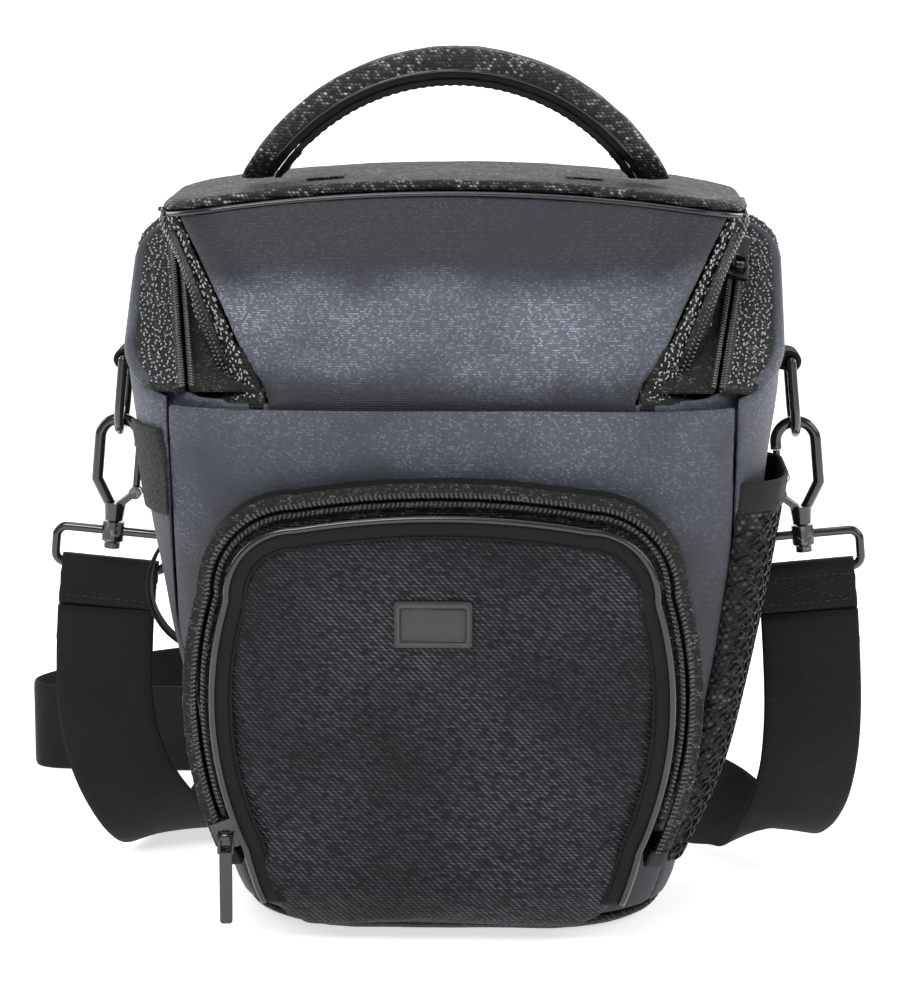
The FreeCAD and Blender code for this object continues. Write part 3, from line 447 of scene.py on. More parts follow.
def stitch_line(name, trees, points, direction, body, long=2.0, gap=1.2, thick=0.42):
    """A seam of thread laid on the surface, seen along direction."""
    places = []
    for centre, along in resample(points, long + gap):
        hit = land(trees, centre - direction * 0.04, direction)
        if hit is None:
            continue
        place, normal = hit
        flat = (along - normal * along.dot(normal)).normalized()
        places.append((place + normal * 0.1 * MM, flat, normal))
    return finish_piece(beads(name, places, long, thick, thick), THREAD, body)


class Shader:
    """A small helper that builds one material's nodes."""

    def __init__(self, name, slot):
        self.material = bpy.data.materials.new(name)
        self.material.use_nodes = True
        self.tree = self.material.node_tree
        self.surface = self.tree.nodes["Principled BSDF"]

    def add(self, kind, **settings):
        node = self.tree.nodes.new(kind)
        for key, value in settings.items():
            setattr(node, key, value)
        return node

    def put(self, socket, value):
        if isinstance(value, bpy.types.NodeSocket):
            self.tree.links.new(value, socket)
        else:
            socket.default_value = value

    def look(self, **values):
        """Sets inputs of the surface by name, with _ for a space."""
        for key, value in values.items():
            self.put(self.surface.inputs[key.replace("_", " ")], value)

    def math(self, operation, a, b=0.0):
        node = self.add("ShaderNodeMath", operation=operation)
        for socket, value in zip(node.inputs, (a, b)):
            self.put(socket, value)
        return node.outputs[0]

    def mix(self, share, a, b):
        node = self.add("ShaderNodeMix", data_type="FLOAT")
        self.put(node.inputs["Factor"], share)
        self.put(node.inputs[2], a)
        self.put(node.inputs[3], b)
        return node.outputs[0]

    def blend(self, share, a, b):
        node = self.add("ShaderNodeMix", data_type="RGBA")
        self.put(node.inputs["Factor"], share)
        self.put(node.inputs[6], a)
        self.put(node.inputs[7], b)
        return node.outputs[2]

    def place(self):
        return self.add("ShaderNodeTexCoord").outputs["Object"]

    def noise(self, scale, detail):
        place = self.place()
        node = self.add("ShaderNodeTexNoise")
        node.inputs["Scale"].default_value = scale
        node.inputs["Detail"].default_value = detail
        self.put(node.inputs["Vector"], place)
        return node.outputs["Fac"]

    def flat(self, pitch):
        """Position on the surface in threads: across and along, whichever way it faces."""
        coords = self.add("ShaderNodeTexCoord")
        place = self.add("ShaderNodeSeparateXYZ")
        self.put(place.inputs[0], coords.outputs["Object"])
        facing = self.add("ShaderNodeSeparateXYZ")
        self.put(facing.inputs[0], coords.outputs["Normal"])
        side = self.math("GREATER_THAN", self.math("ABSOLUTE", facing.outputs[0]), 0.72)
        top = self.math("GREATER_THAN", self.math("ABSOLUTE", facing.outputs[2]), 0.72)
        u = self.mix(side, place.outputs[0], place.outputs[1])
        v = self.mix(top, place.outputs[2], place.outputs[1])
        scale = 1.0 / (pitch * MM)
        return self.math("MULTIPLY", u, scale), self.math("MULTIPLY", v, scale)

    def bump(self, height, strength, distance):
        node = self.add("ShaderNodeBump")
        node.inputs["Strength"].default_value = strength
        node.inputs["Distance"].default_value = distance * MM
        self.put(node.inputs["Height"], height)
        self.put(self.surface.inputs["Normal"], node.outputs["Normal"])
        return node


def grey(value, tint=0.0):
    return (value * (1.0 - tint * 0.25), value * (1.0 - tint * 0.1), value * (1.0 + tint * 0.45), 1.0)


def woven(name, slot, dark, light, pitch, slant, spark, clouds, depth, sheen, level, size=(0.34, 0.3),
          tint=0.0, painted_sheen_band=None):
    """Cloth of short floats laid like bricks, with painted glints: some floats and some areas are coloured
    lighter.

    pitch is the spacing across and up, in millimetres; slant leans the floats; spark sharpens the choice of
    floats with a painted glint; clouds is the size and threshold of the areas with painted glints; zone is
    a height band (low, rise, fall, high) with a painted sheen, lighter than the rest."""
    s = Shader(name, slot)
    u, v = s.flat(1.0)
    wobble = s.noise(120.0, 2.0)
    u = s.math("ADD", s.math("DIVIDE", u, pitch[0]), s.math("MULTIPLY", wobble, 0.25))
    v = s.math("ADD", s.math("DIVIDE", v, pitch[1]), s.math("MULTIPLY", wobble, 0.3))
    row = s.math("FLOOR", v)
    half = s.math("MULTIPLY", s.math("MODULO", s.math("ABSOLUTE", row), 2.0), 0.5)
    u = s.math("ADD", u, half)
    column = s.math("FLOOR", u)
    fy = s.math("SUBTRACT", s.math("FRACT", v), 0.5)
    fx = s.math("ADD", s.math("SUBTRACT", s.math("FRACT", u), 0.5), s.math("MULTIPLY", fy, slant))
    far = s.math("ADD", s.math("POWER", s.math("ABSOLUTE", s.math("DIVIDE", fx, size[0])), 2.0),
                 s.math("POWER", s.math("ABSOLUTE", s.math("DIVIDE", fy, size[1])), 2.0))
    blob = s.math("DIVIDE", 1.0, s.math("ADD", 1.0, s.math("POWER", far, 2.0)))
    cell = s.add("ShaderNodeCombineXYZ")
    s.put(cell.inputs[0], column)
    s.put(cell.inputs[1], row)
    dice = s.add("ShaderNodeTexWhiteNoise", noise_dimensions="3D")
    s.put(dice.inputs["Vector"], cell.outputs[0])
    lucky = s.math("POWER", dice.outputs["Value"], spark)
    area = s.noise(clouds[0], 3.0)
    area = s.math("MULTIPLY", s.math("MAXIMUM", s.math("SUBTRACT", area, clouds[1]), 0.0), 2.6)
    # painted glints: the chosen floats inside these areas are coloured light, as if they caught the light
    painted_glints = s.math("MULTIPLY", s.math("MULTIPLY", blob, lucky), area)
    # painted sheen: a lighter band across the zone's heights, where most of the painted glints also fall
    if painted_sheen_band is not None:
        place = s.add("ShaderNodeSeparateXYZ")
        s.put(place.inputs[0], s.place())
        ragged = s.math("MULTIPLY", s.math("SUBTRACT", s.noise(22.0, 3.0), 0.5), 0.022)
        height = s.math("ADD", place.outputs[2], ragged)
        rise = s.add("ShaderNodeMapRange", interpolation_type="SMOOTHSTEP")
        fall = s.add("ShaderNodeMapRange", interpolation_type="SMOOTHSTEP")
        for node, low, high in ((rise, painted_sheen_band[0], painted_sheen_band[1]), (fall, painted_sheen_band[3], painted_sheen_band[2])):
            s.put(node.inputs["Value"], height)
            s.put(node.inputs["From Min"], low * MM)
            s.put(node.inputs["From Max"], high * MM)
        band = s.math("MULTIPLY", rise.outputs[0], fall.outputs[0])
        painted_glints = s.math("MULTIPLY", painted_glints, s.math("ADD", 0.12, s.math("MULTIPLY", band, 0.88)))
        painted_sheen = s.math("MULTIPLY", band, s.math("ADD", 0.35, s.math("MULTIPLY", area, 0.55)))
    else:
        painted_sheen = 0.0
    cloudy = s.noise(12.0, 3.0)
    tone = s.math("ADD", s.math("MULTIPLY", blob, 0.45), s.math("MULTIPLY", cloudy, 0.4))
    base = s.blend(tone, grey(dark * 0.5, tint), grey(dark * 1.5, tint))
    base = s.blend(painted_sheen, base, grey(dark + light * 0.2, tint * 0.8))
    bright = grey(light, tint * 0.6)
    # the painted glints and the painted sheen go into the base colour
    s.look(Base_Color=s.blend(s.math("MINIMUM", painted_glints, 1.0), base, bright), Roughness=0.55,
           Specular_IOR_Level=level, Sheen_Weight=sheen, Sheen_Roughness=0.4)
    s.bump(blob, 0.8, depth)
    return s.material


def twill(name, slot, dark, light, pitch=0.9):
    """Webbing: fine slanting ribs."""
    s = Shader(name, slot)
    u, v = s.flat(pitch)
    rib = s.math("SINE", s.math("MULTIPLY", s.math("ADD", s.math("MULTIPLY", u, 0.6), v), 2 * math.pi))
    rib = s.math("MULTIPLY", s.math("ADD", rib, 1.0), 0.5)
    grain = s.noise(900.0, 2.0)
    cloudy = s.noise(35.0, 2.0)
    tone = s.math("MULTIPLY", s.math("ADD", rib, s.math("MULTIPLY", grain, 0.8)), 0.5)
    tone = s.math("MULTIPLY", tone, s.math("ADD", cloudy, 0.5))
    s.look(Base_Color=s.blend(tone, grey(dark), grey(light)), Roughness=0.62,
           Specular_IOR_Level=0.14, Sheen_Weight=0.02)
    s.bump(s.math("ADD", rib, s.math("MULTIPLY", grain, 0.5)), 0.7, 0.16)
    return s.material


def smooth_black(name, slot, value, rough, coat=0.0, wear=0.0):
    """Enamel, moulded or rubber pieces: fine grain, a little wear and uneven gloss."""
    s = Shader(name, slot)
    grain = s.noise(420.0, 3.0)
    broad = s.noise(60.0, 3.0)
    tone = s.math("ADD", s.math("MULTIPLY", broad, 0.6), s.math("MULTIPLY", grain, 0.4))
    colour = s.blend(tone, grey(value * 0.7), grey(value * 1.4))
    if wear:
        edge = s.add("ShaderNodeNewGeometry").outputs["Pointiness"]
        worn = s.math("MULTIPLY", s.math("GREATER_THAN", edge, 0.56), s.math("GREATER_THAN", grain, 0.56))
        colour = s.blend(s.math("MULTIPLY", worn, wear), colour, grey(0.35))
    uneven = s.math("ADD", rough - 0.08, s.math("MULTIPLY", broad, 0.16))
    s.look(Base_Color=colour, Specular_IOR_Level=0.35, Roughness=uneven, Coat_Weight=coat,
           Coat_Roughness=0.12)
    s.bump(grain, 0.25, 0.05)
    return s.material


def fuzzy(name, slot, dark, light, size):
    """Brushed or looped pile."""
    s = Shader(name, slot)
    pile = s.noise(size, 4.0)
    broad = s.noise(40.0, 2.0)
    tone = s.math("MULTIPLY", s.math("POWER", pile, 2.0), s.math("ADD", broad, 0.6))
    s.look(Base_Color=s.blend(s.math("MULTIPLY", tone, 1.6), grey(dark), grey(light)), Roughness=0.92,
           Specular_IOR_Level=0.15, Sheen_Weight=0.1)
    s.bump(pile, 0.9, 0.5)
    return s.material


# Every woven cloth below has painted glints in its colour, in its light colour. The two slate nylons also
# have a painted sheen band (zone) at their own heights, and the lid's copy has brighter painted glints than
# the front's.
SLATE = woven("slate_nylon_front", "slate_nylon", 0.028, 0.30, (1.0, 0.85), 0.5, spark=3.5,
              clouds=(26.0, 0.3), depth=0.10, sheen=0.04, tint=0.6,
              painted_sheen_band=(115.0, 190.0, 215.0, 260.0), level=0.3)
SLATE_LID = woven("slate_nylon_lid", "slate_nylon", 0.028, 0.46, (1.0, 0.85), 0.2,
                  size=(0.40, 0.26), spark=2.6, clouds=(24.0, 0.28), depth=0.10, sheen=0.04, tint=0.55,
                  painted_sheen_band=(202.0, 216.0, 238.0, 254.0), level=0.3)
WEAVE = woven("black_weave_pocket", "black_weave", 0.0065, 0.125, (2.2, 1.2), 0.8,
              size=(0.22, 0.34), spark=0.8, clouds=(16.0, 0.26), depth=0.35, sheen=0.01, tint=0.4,
              level=0.18)
WEAVE_COARSE = woven("black_weave_coarse", "black_weave", 0.008, 0.6, (1.5, 1.15), 0.4, spark=3.5,
                     clouds=(90.0, 0.3), depth=0.5, sheen=0.05, level=0.25)
ANCHOR_CLOTH = woven("black_weave_anchor", "black_webbing", 0.008, 0.5, (1.5, 1.15), 0.4, spark=3.5,
                     clouds=(90.0, 0.3), depth=0.5, sheen=0.05, level=0.25)
WEAVE_BAND = woven("black_weave_band", "black_weave", 0.008, 0.4, (1.5, 1.2), 0.8, spark=4.0,
                   clouds=(120.0, 0.36), depth=0.5, sheen=0.05, level=0.25)
ZIP_TAPE = woven("zip_tape_black", "zip_tape", 0.008, 0.3, (1.2, 0.9), 0.0, spark=4.0,
                 clouds=(150.0, 0.36), depth=0.3, sheen=0.05, level=0.25)
ZIP_TEETH = smooth_black("zip_coil", "zip_tape", 0.03, 0.25, coat=0.8)
# painted glints: floats of black cloth coloured light grey, standing in for the band's sparkle
SPARKLE = smooth_black("float_painted_glint", "black_weave", 0.34, 0.2, coat=1.0)
WEBBING = twill("webbing_black", "black_webbing", 0.003, 0.017)
PIPING = smooth_black("piping_gloss", "piping", 0.008, 0.25, coat=0.6)
BINDING = twill("binding_smooth", "piping", 0.004, 0.014, 0.7)
ENAMEL = smooth_black("enamel_black", "enamel_metal", 0.008, 0.2, coat=0.9, wear=0.3)
PLASTIC = smooth_black("moulded_black", "moulded_plastic", 0.01, 0.42)
RUBBER = smooth_black("rubber_slate", "rubber_badge", 0.044, 0.6)
RUBBER_EDGE = smooth_black("rubber_edge", "rubber_badge", 0.05, 0.5)
PULL = smooth_black("pull_gloss", "glossy_pull", 0.006, 0.15, coat=0.8)
THREAD = smooth_black("thread_black", "black_webbing", 0.02, 0.4)
LINING = fuzzy("lining_grey", "lining", 0.10, 0.3, 700.0)
FOAM = fuzzy("foam_grey", "foam", 0.08, 0.22, 500.0)
LOOP_TAPE = fuzzy("loop_tape_black", "loop_tape", 0.004, 0.05, 1300.0)
NET_GROUND = woven("net_ground", "mesh", 0.006, 0.25, (2.6, 2.2), 0.0, size=(0.3, 0.3), spark=3.0,
                   clouds=(80.0, 0.35), depth=0.6, sheen=0.0, level=0.2)
NET = smooth_black("net_black", "mesh", 0.012, 0.4, coat=0.3)
ELASTIC = twill("elastic_black", "elastic", 0.008, 0.03, 0.8)
TAB_GREY = twill("zip_tab_grey", "zip_grey_tab", 0.02, 0.07, 0.8)


# ---------------------------------------------------------------- camera
def set_camera():
    azimuth = math.radians(1.5)
    look = Vector((-0.002, 0.0, 0.1595))
    place = Vector((look.x + 1.2 * math.sin(azimuth), -1.2 * math.cos(azimuth), 0.385))
    data = bpy.data.cameras.new("camera")
    data.lens = 117.5
    data.sensor_width = 36.0
    data.dof.use_dof = False
    camera = bpy.data.objects.new("camera", data)
    camera.location = place
    camera.rotation_euler = (look - place).to_track_quat("-Z", "Y").to_euler()
    scene.collection.objects.link(camera)
    scene.camera = camera


# ---------------------------------------------------------------- shoulder strap
STRAP_WIDE = 38.0
STRAP_THICK = 1.6
STRAP_LEFT = [
    ((-137.54, 24.85, 107.8), (1.0, 0.0, -0.096)),
    ((-139.0, 24.5, 86.0), (1.0, 0.0, -0.05)),
    ((-138.5, 26.5, 60.0), (1.0, 0.05, 0.1)),
    ((-132.0, 32.0, 36.0), (1.0, 0.1, 0.3)),
    ((-122.0, 44.0, 16.0), (1.0, 0.2, 0.3)),
    ((-112.0, 66.0, 4.8), (1.0, 0.25, 0.05)),
    ((-104.0, 96.0, 2.0), (1.0, 0.2, 0.0)),
    ((-99.0, 132.0, 1.5), (1.0, 0.1, 0.0)),
    ((-97.0, 172.0, 3.2), (1.0, 0.0, 0.05)),
    ((-93.0, 208.0, 12.4), (0.85, -0.1, 0.55)),
    ((-98.0, 236.0, 20.6), (0.4, -0.2, 0.9)),
    ((-120.0, 250.0, 20.8), (0.0, 0.0, 1.0)),
    ((-150.0, 238.0, 19.8), (0.0, 0.0, 1.0)),
    ((-176.0, 214.0, 19.4), (0.0, 0.0, 1.0)),
    ((-193.0, 192.0, 19.4), (0.0, 0.0, 1.0)),
    ((-190.0, 177.0, 19.4), (0.0, 0.0, 1.0)),
    ((-168.0, 174.0, 19.4), (0.0, 0.0, 1.0)),
    ((-132.0, 166.0, 21.5), (0.0, 0.0, 1.0)),
    ((-98.0, 157.0, 24.0), (0.0, 0.0, 1.0)),
    ((-64.0, 150.0, 23.0), (0.0, 0.0, 1.0)),
    ((-10.8, 141.4, 22.6), (0.0, 0.0, 1.0)),
]
STRAP_RIGHT = [
    ((137.54, 24.85, 107.8), (1.0, 0.0, 0.096)),
    ((139.2, 24.5, 86.0), (1.0, 0.0, 0.05)),
    ((140.0, 26.5, 60.0), (1.0, 0.0, -0.05)),
    ((138.0, 31.0, 36.0), (1.0, 0.1, -0.2)),
    ((131.0, 41.0, 15.0), (1.0, 0.3, -0.2)),
    ((118.0, 57.0, 11.6), (0.75, 0.45, 0.3)),
    ((101.0, 76.0, 17.2), (0.4, 0.35, 0.75)),
    ((82.0, 95.0, 20.4), (0.1, 0.1, 1.0)),
    ((61.0, 112.0, 20.0), (0.0, 0.0, 1.0)),
    ((36.0, 127.0, 20.0), (0.0, 0.0, 1.0)),
    ((10.0, 138.0, 21.0), (0.0, 0.0, 1.0)),
    ((-8.0, 141.0, 22.6), (0.0, 0.0, 1.0)),
]


def spline_points(name, route):
    """Close points along a smooth curve that the route's points pull."""
    curve = bpy.data.curves.new(name, "CURVE")
    curve.dimensions = "3D"
    spline = curve.splines.new("NURBS")
    spline.points.add(len(route) - 1)
    for point, (place, _) in zip(spline.points, route):
        point.co = (place[0] * MM, place[1] * MM, place[2] * MM, 1.0)
    spline.order_u = 3
    spline.use_endpoint_u = True
    spline.resolution_u = 10
    obj = bpy.data.objects.new(name, curve)
    scene.collection.objects.link(obj)
    graph = bpy.context.evaluated_depsgraph_get()
    mesh = bpy.data.meshes.new_from_object(obj.evaluated_get(graph))
    points = [v.co.copy() for v in mesh.vertices]
    bpy.data.objects.remove(obj)
    return points


def webbing(name, route):
    """Flat webbing with rounded selvedges, turned as the route's cross directions say."""
    points = spline_points(name + "_line", route)
    knots = [Vector(p) * MM for p, _ in route]
    reach = distances(knots)
    gone = distances(points)
    stretch = reach[-1] / gone[-1]
    under = [(-1.0, -0.3), (-0.94, -0.85), (-0.8, -1.0), (0.0, -0.86), (0.8, -1.0), (0.94, -0.85),
             (1.0, -0.3)]
    section = under + [(s, -t) for s, t in reversed(under)]
    vertices = []
    across = [Vector(w) for _, w in route]
    for k, p in enumerate(points):
        tangent = (points[min(k + 1, len(points) - 1)] - points[max(k - 1, 0)]).normalized()
        at = gone[k] * stretch
        j = max(i for i in range(len(reach)) if reach[i] <= at + 1e-9)
        j = min(j, len(reach) - 2)
        share = (at - reach[j]) / (reach[j + 1] - reach[j])
        share = share * share * (3 - 2 * share)
        wide = across[j].lerp(across[j + 1], share)
        side = (wide - tangent * wide.dot(tangent)).normalized()
        out = tangent.cross(side).normalized()
        wave = 0.5 * math.sin(at * 45.0) * MM
        for s, t in section:
            vertices.append(p + side * (s * STRAP_WIDE * 0.5 * MM)
                            + out * (t * STRAP_THICK * 0.5 * MM + wave * (1 - s * s) * 0.4))
    faces = ring_faces(0, len(points), len(section))
    return make_object(name, vertices, faces), points, gone[-1]


def make_straps():
    for word, route, side in (("left", STRAP_LEFT, -1), ("right", STRAP_RIGHT, 1)):
        strap, points, length = webbing("strap_webbing_" + word, route)
        finish_piece(strap, WEBBING, None, ["strap_" + word])
        fold = piece_from("strap_fold_" + word, 0.8, 2, WEBBING)
        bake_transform(strap)
        print("strap", word, round(length * 1000, 1), "mm")
        # box of thread that holds the fold
        trees = surface_of([fold])
        lean = math.radians(5.5)
        centre = Vector((side * 136.6, 28.0, 117.0)) * MM
        up = Vector((-side * math.sin(lean), 0, math.cos(lean)))
        wide = Vector((math.cos(lean), 0, side * math.sin(lean)))
        toward = Vector((0, 1, 0))
        corners = []
        for a, b in ((-1, -1), (1, -1), (1, 1), (-1, 1)):
            corners.append(centre + wide * (a * 16.5 * MM) + up * (b * 5.2 * MM))
        if side > 0:
            lines = [corners + corners[:1], [corners[0], corners[2]], [corners[1], corners[3]]]
        else:
            lines = [[corners[0], corners[1]]]
        for number, line in enumerate(lines):
            stitch_line(f"strap_stitch_{word}_{number}", trees, line, toward, "ring_" + word)


def body_of_node(name):
    for body, members in frame["record"]["behaviour"]["bodies"].items():
        if name in members:
            return body
    return ROOT


def piece_from(node, voxel, relax, material, swell=0.0, size=40.0, seed=1.0, ridge=0.0):
    """A soft copy of a CAD node: rounded edges and a slightly uneven surface."""
    obj = copy_nodes(node + "_soft", [node])
    remesh(obj, voxel, relax)
    if swell:
        wrinkle(obj, swell, size, seed, ridge)
    return finish_piece(obj, material, body_of_node(node), [node])


def ease_edges(obj, width, limit):
    """Rounds the edges that turn by more than limit degrees, and keeps the sharp ones crisp."""
    if width:
        ease = obj.modifiers.new("bevel", "BEVEL")
        ease.width = width * MM
        ease.segments = 2
        ease.limit_method = "ANGLE"
        ease.angle_limit = math.radians(limit)
        bake(obj)
    obj.data.set_sharp_from_angle(angle=math.radians(38))


def hard_piece(node, material, bevel):
    """A crisp copy with slightly eased edges."""
    obj = copy_nodes(node + "_hard", [node])
    ease_edges(obj, bevel, 35)
    return finish_piece(obj, material, body_of_node(node), [node])


# ---------------------------------------------------------------- body
def make_body():
    cover = copy_nodes("front_cover_soft", ["front_cover"])
    remesh(cover, 1.5, 6)
    co = coordinates(cover) / MM
    # the slip pocket's mouth bows forward a little and rolls over
    rise = np.clip((co[:, 2] - 168.0) / 34.0, 0, 1)
    middle = np.clip(1.0 - (co[:, 0] / 100.0) ** 2, 0, 1)
    co[:, 1] -= rise ** 2 * middle * 2.2
    set_coordinates(cover, co * MM)
    wrinkle(cover, 0.45, 55.0, 3.0, 0.4)
    finish_piece(cover, SLATE, ROOT, ["front_cover"])
    piece_from("front_wall", 1.8, 5, SLATE, 0.3, 50.0, 8.0)
    for word in ("left", "right"):
        piece_from("side_panel_" + word, 1.5, 6, SLATE, 0.55, 48.0, 5.0, 0.5)
    piece_from("back_panel", 1.8, 5, SLATE, 0.5, 55.0, 9.0, 0.4)
    piece_from("base_panel", 1.6, 3, WEAVE, 0.3, 30.0, 2.0)
    for node in ("liner_front", "liner_back", "liner_sides", "liner_base", "lens_divider"):
        pad = piece_from(node, 2.4, 3, LINING, 0.35, 35.0, 4.0)
    pad = copy_nodes("back_pad_soft", ["back_pad"])
    remesh(pad, 1.6, 4)
    co = coordinates(pad) / MM
    across = np.abs(np.sin(co[:, 0] / 26.0 * math.pi)) ** 0.4
    quilt = across * np.abs(np.sin((co[:, 2] - 24.0) / 33.7 * math.pi)) ** 0.4
    outer = co[:, 1] > back_y(co[:, 2]) + 1.5
    co[:, 1] += np.where(outer, quilt * 1.6 - 0.6, 0.0)
    set_coordinates(pad, co * MM)
    finish_piece(pad, WEAVE_COARSE, ROOT, ["back_pad"])
    loop = piece_from("belt_loop", 1.0, 3, WEBBING, 0.15, 20.0, 6.0)
    trees = surface_of([loop])
    for z in (99.0, 107.0, 189.0, 197.0):
        y = back_y(z) + 20.0
        line = [Vector((x, y, z)) * MM for x in (-23.0, 23.0)]
        stitch_line(f"belt_stitch_{int(z)}", trees, line, Vector((0, -1, 0)), ROOT)


def outline_front(half, y0, r, x):
    """How far forward a rounded outline is at a given place across."""
    inside = abs(x) - (half - r)
    if inside <= 0.0:
        return y0
    return y0 + r - math.sqrt(max(r * r - inside * inside, 0.0))


HINGE_LEVELS = [            # height, how far across, half width, front, corner radius
    (221.0, 90.0, 94.0, -52.0, 37.5),
    (214.0, 90.0, 92.4, -54.4, 38.2),
    (210.0, 90.0, 91.6, -55.4, 38.6),
    (207.0, 90.0, 91.6, -56.2, 39.2),
    (204.5, 91.0, 96.0, -56.9, 41.0),
    (202.0, 94.0, 108.0, -57.7, 44.0),
    (196.0, 96.0, half_width(196.0), front_y(196.0) - 0.6, 46.0),
    (188.0, 96.0, half_width(188.0), front_y(188.0) - 0.6, 46.0),
]


LID_SEAM_Z = 204.0


def panel_edge(z):
    """Half width of the lid's front panel, which widens upwards from the seam."""
    return 68.0 + 0.5 * np.maximum(z - LID_SEAM_Z, 0.0)


HINGE_THICK = 2.6


def hinge_strip(side):
    """A closed strip of cloth from the lid's front down into the slip pocket: the middle, or one side."""
    steps = 40
    wide = steps + 1
    vertices = []
    faces = []
    for layer in (0.0, HINGE_THICK):
        for z, reach, half, y0, r in HINGE_LEVELS:
            for k in range(wide):
                edge = panel_edge(z)
                if side == 0:
                    x = edge * (2.0 * k / steps - 1.0)
                else:
                    x = side * (edge + (reach - edge) * k / steps)
                y = outline_front(half, y0, r, x) + layer
                vertices.append(Vector((x * (1.0 - layer * 0.012), y, z)) * MM)
    rows = len(HINGE_LEVELS)
    back = rows * wide
    for j in range(rows - 1):
        for k in range(steps):
            a = j * wide + k
            faces.append((a, a + 1, a + 1 + wide, a + wide))
            faces.append((back + a, back + a + wide, back + a + 1 + wide, back + a + 1))
        for a in (j * wide, j * wide + steps):
            faces.append((a, a + wide, back + a + wide, back + a))
    for k in range(steps):
        for a in (k, (rows - 1) * wide + k):
            faces.append((a, a + 1, back + a + 1, back + a))
    return make_object("hinge_strip", vertices, faces)


def fold_at_hinge(obj, material, stands_for):
    """Gives cloth of the lid's front, which is sewn to the bag and folds just above the seam, its material,
    hides the nodes it stands for and bakes its place; it joins no body and nothing here bends it.
    """
    finish_piece(obj, material, None, stands_for)
    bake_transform(obj)


def make_rim_roll():
    """The side panels' top edge rolls over inwards before it meets the zip's tape."""
    line = []
    for k in range(40):
        y = -47.0 + k * (32.0 + 47.0) / 39.0
        z = rim_z(y) - 1.6
        line.append(side_point(y, z, -1.6))
    for k in range(1, 9):
        t = math.pi / 2 * k / 8
        y = 32.0 + 26.0 * math.sin(t)
        z = rim_z(y) - 1.6
        line.append(Vector((half_width(z) - 1.6 - 26.0 + 26.0 * math.cos(t), y, z)) * MM)
    z = rim_z(61.0) - 1.6
    line.append(Vector((0.0, back_y(z) - 1.6, z)) * MM)
    for side in (-1, 1):
        points = [Vector((side * p.x, p.y, p.z)) for p in line]
        finish_piece(tube(f"rim_roll_{'left' if side < 0 else 'right'}", points, 2.4, ring=14), SLATE, ROOT)


def sparkle_rows(name, trees, lines, toward, body, pitch, scatter, seed):
    """Rows of short glossy floats woven along a band, coloured light grey on the black cloth as painted
    glints.
    """
    dice = random.Random(seed)
    places = []
    for line in lines:
        for centre, along in resample(line, pitch):
            start = centre + Vector([dice.uniform(-scatter, scatter) * MM for _ in range(3)])
            hit = land(trees, start - toward * 0.05, toward, 0.12)
            if hit is None:
                continue
            place, normal = hit
            flat = along - normal * along.dot(normal)
            if flat.length < 1e-6:
                continue
            across = flat.cross(normal).normalized()
            turn = dice.uniform(-0.7, 0.7)
            lie = (flat.normalized() * math.cos(turn) + across * math.sin(turn)).normalized()
            places.append((place + normal * 0.15 * MM, lie, normal))
    return finish_piece(beads(name, places, 1.25, 0.7, 0.7), SPARKLE, body)


# ---------------------------------------------------------------- lid
LID_OUTLINES = [            # height, half width, front, corner radius of the lid near its top
    (250.0, 102.5, -43.5, 32.0),
    (263.0, 109.0, -39.5, 27.0),
    (271.0, 107.5, -37.5, 22.0),
    (277.0, 99.0, -35.0, 18.0),
]


LID_TOP = 281.0
CROWN_R = 645.0


def crown_z(x):
    """Height of the lid's arched top."""
    return LID_TOP - CROWN_R + np.sqrt(CROWN_R ** 2 - x * x)


def chain_x(z):
    """How far across the middle of the lid's second chain is, at one height."""
    return 80.1 + 0.42 * (z - LID_SEAM_Z)


def lid_outline_at(z):
    for low, high in zip(LID_OUTLINES, LID_OUTLINES[1:]):
        if z <= high[0]:
            break
    t = min(max((z - low[0]) / (high[0] - low[0]), 0.0), 1.0)
    return [a + (b - a) * t for a, b in zip(low[1:], high[1:])]


def make_lid_piping():
    """A thin rolled cord in the seam between the lid's front and its arched top."""
    half_line = []
    for k in range(61):
        share = k / 60.0
        x = 0.0
        y = 0.0
        for _ in range(4):
            z = crown_z(x) - 4.9
            half, y0, r = lid_outline_at(z)
            half -= 0.3
            y0 -= 0.3
            straight = half - r
            turn = r * math.pi / 2
            side = -8.0 - (y0 + r)
            d = share * (straight + turn + side)
            if d <= straight:
                x, y = d, y0
            elif d <= straight + turn:
                a = (d - straight) / r
                x, y = straight + r * math.sin(a), y0 + r * (1.0 - math.cos(a))
            else:
                x, y = half, y0 + r + (d - straight - turn)
        half_line.append((x, y, crown_z(x) - 4.9))
    line = [Vector((-x, y, z)) * MM for x, y, z in reversed(half_line[1:])]
    line += [Vector(p) * MM for p in half_line]
    finish_piece(tube("lid_piping_cord", line, 1.0), PIPING, "lid", ["lid_piping"])


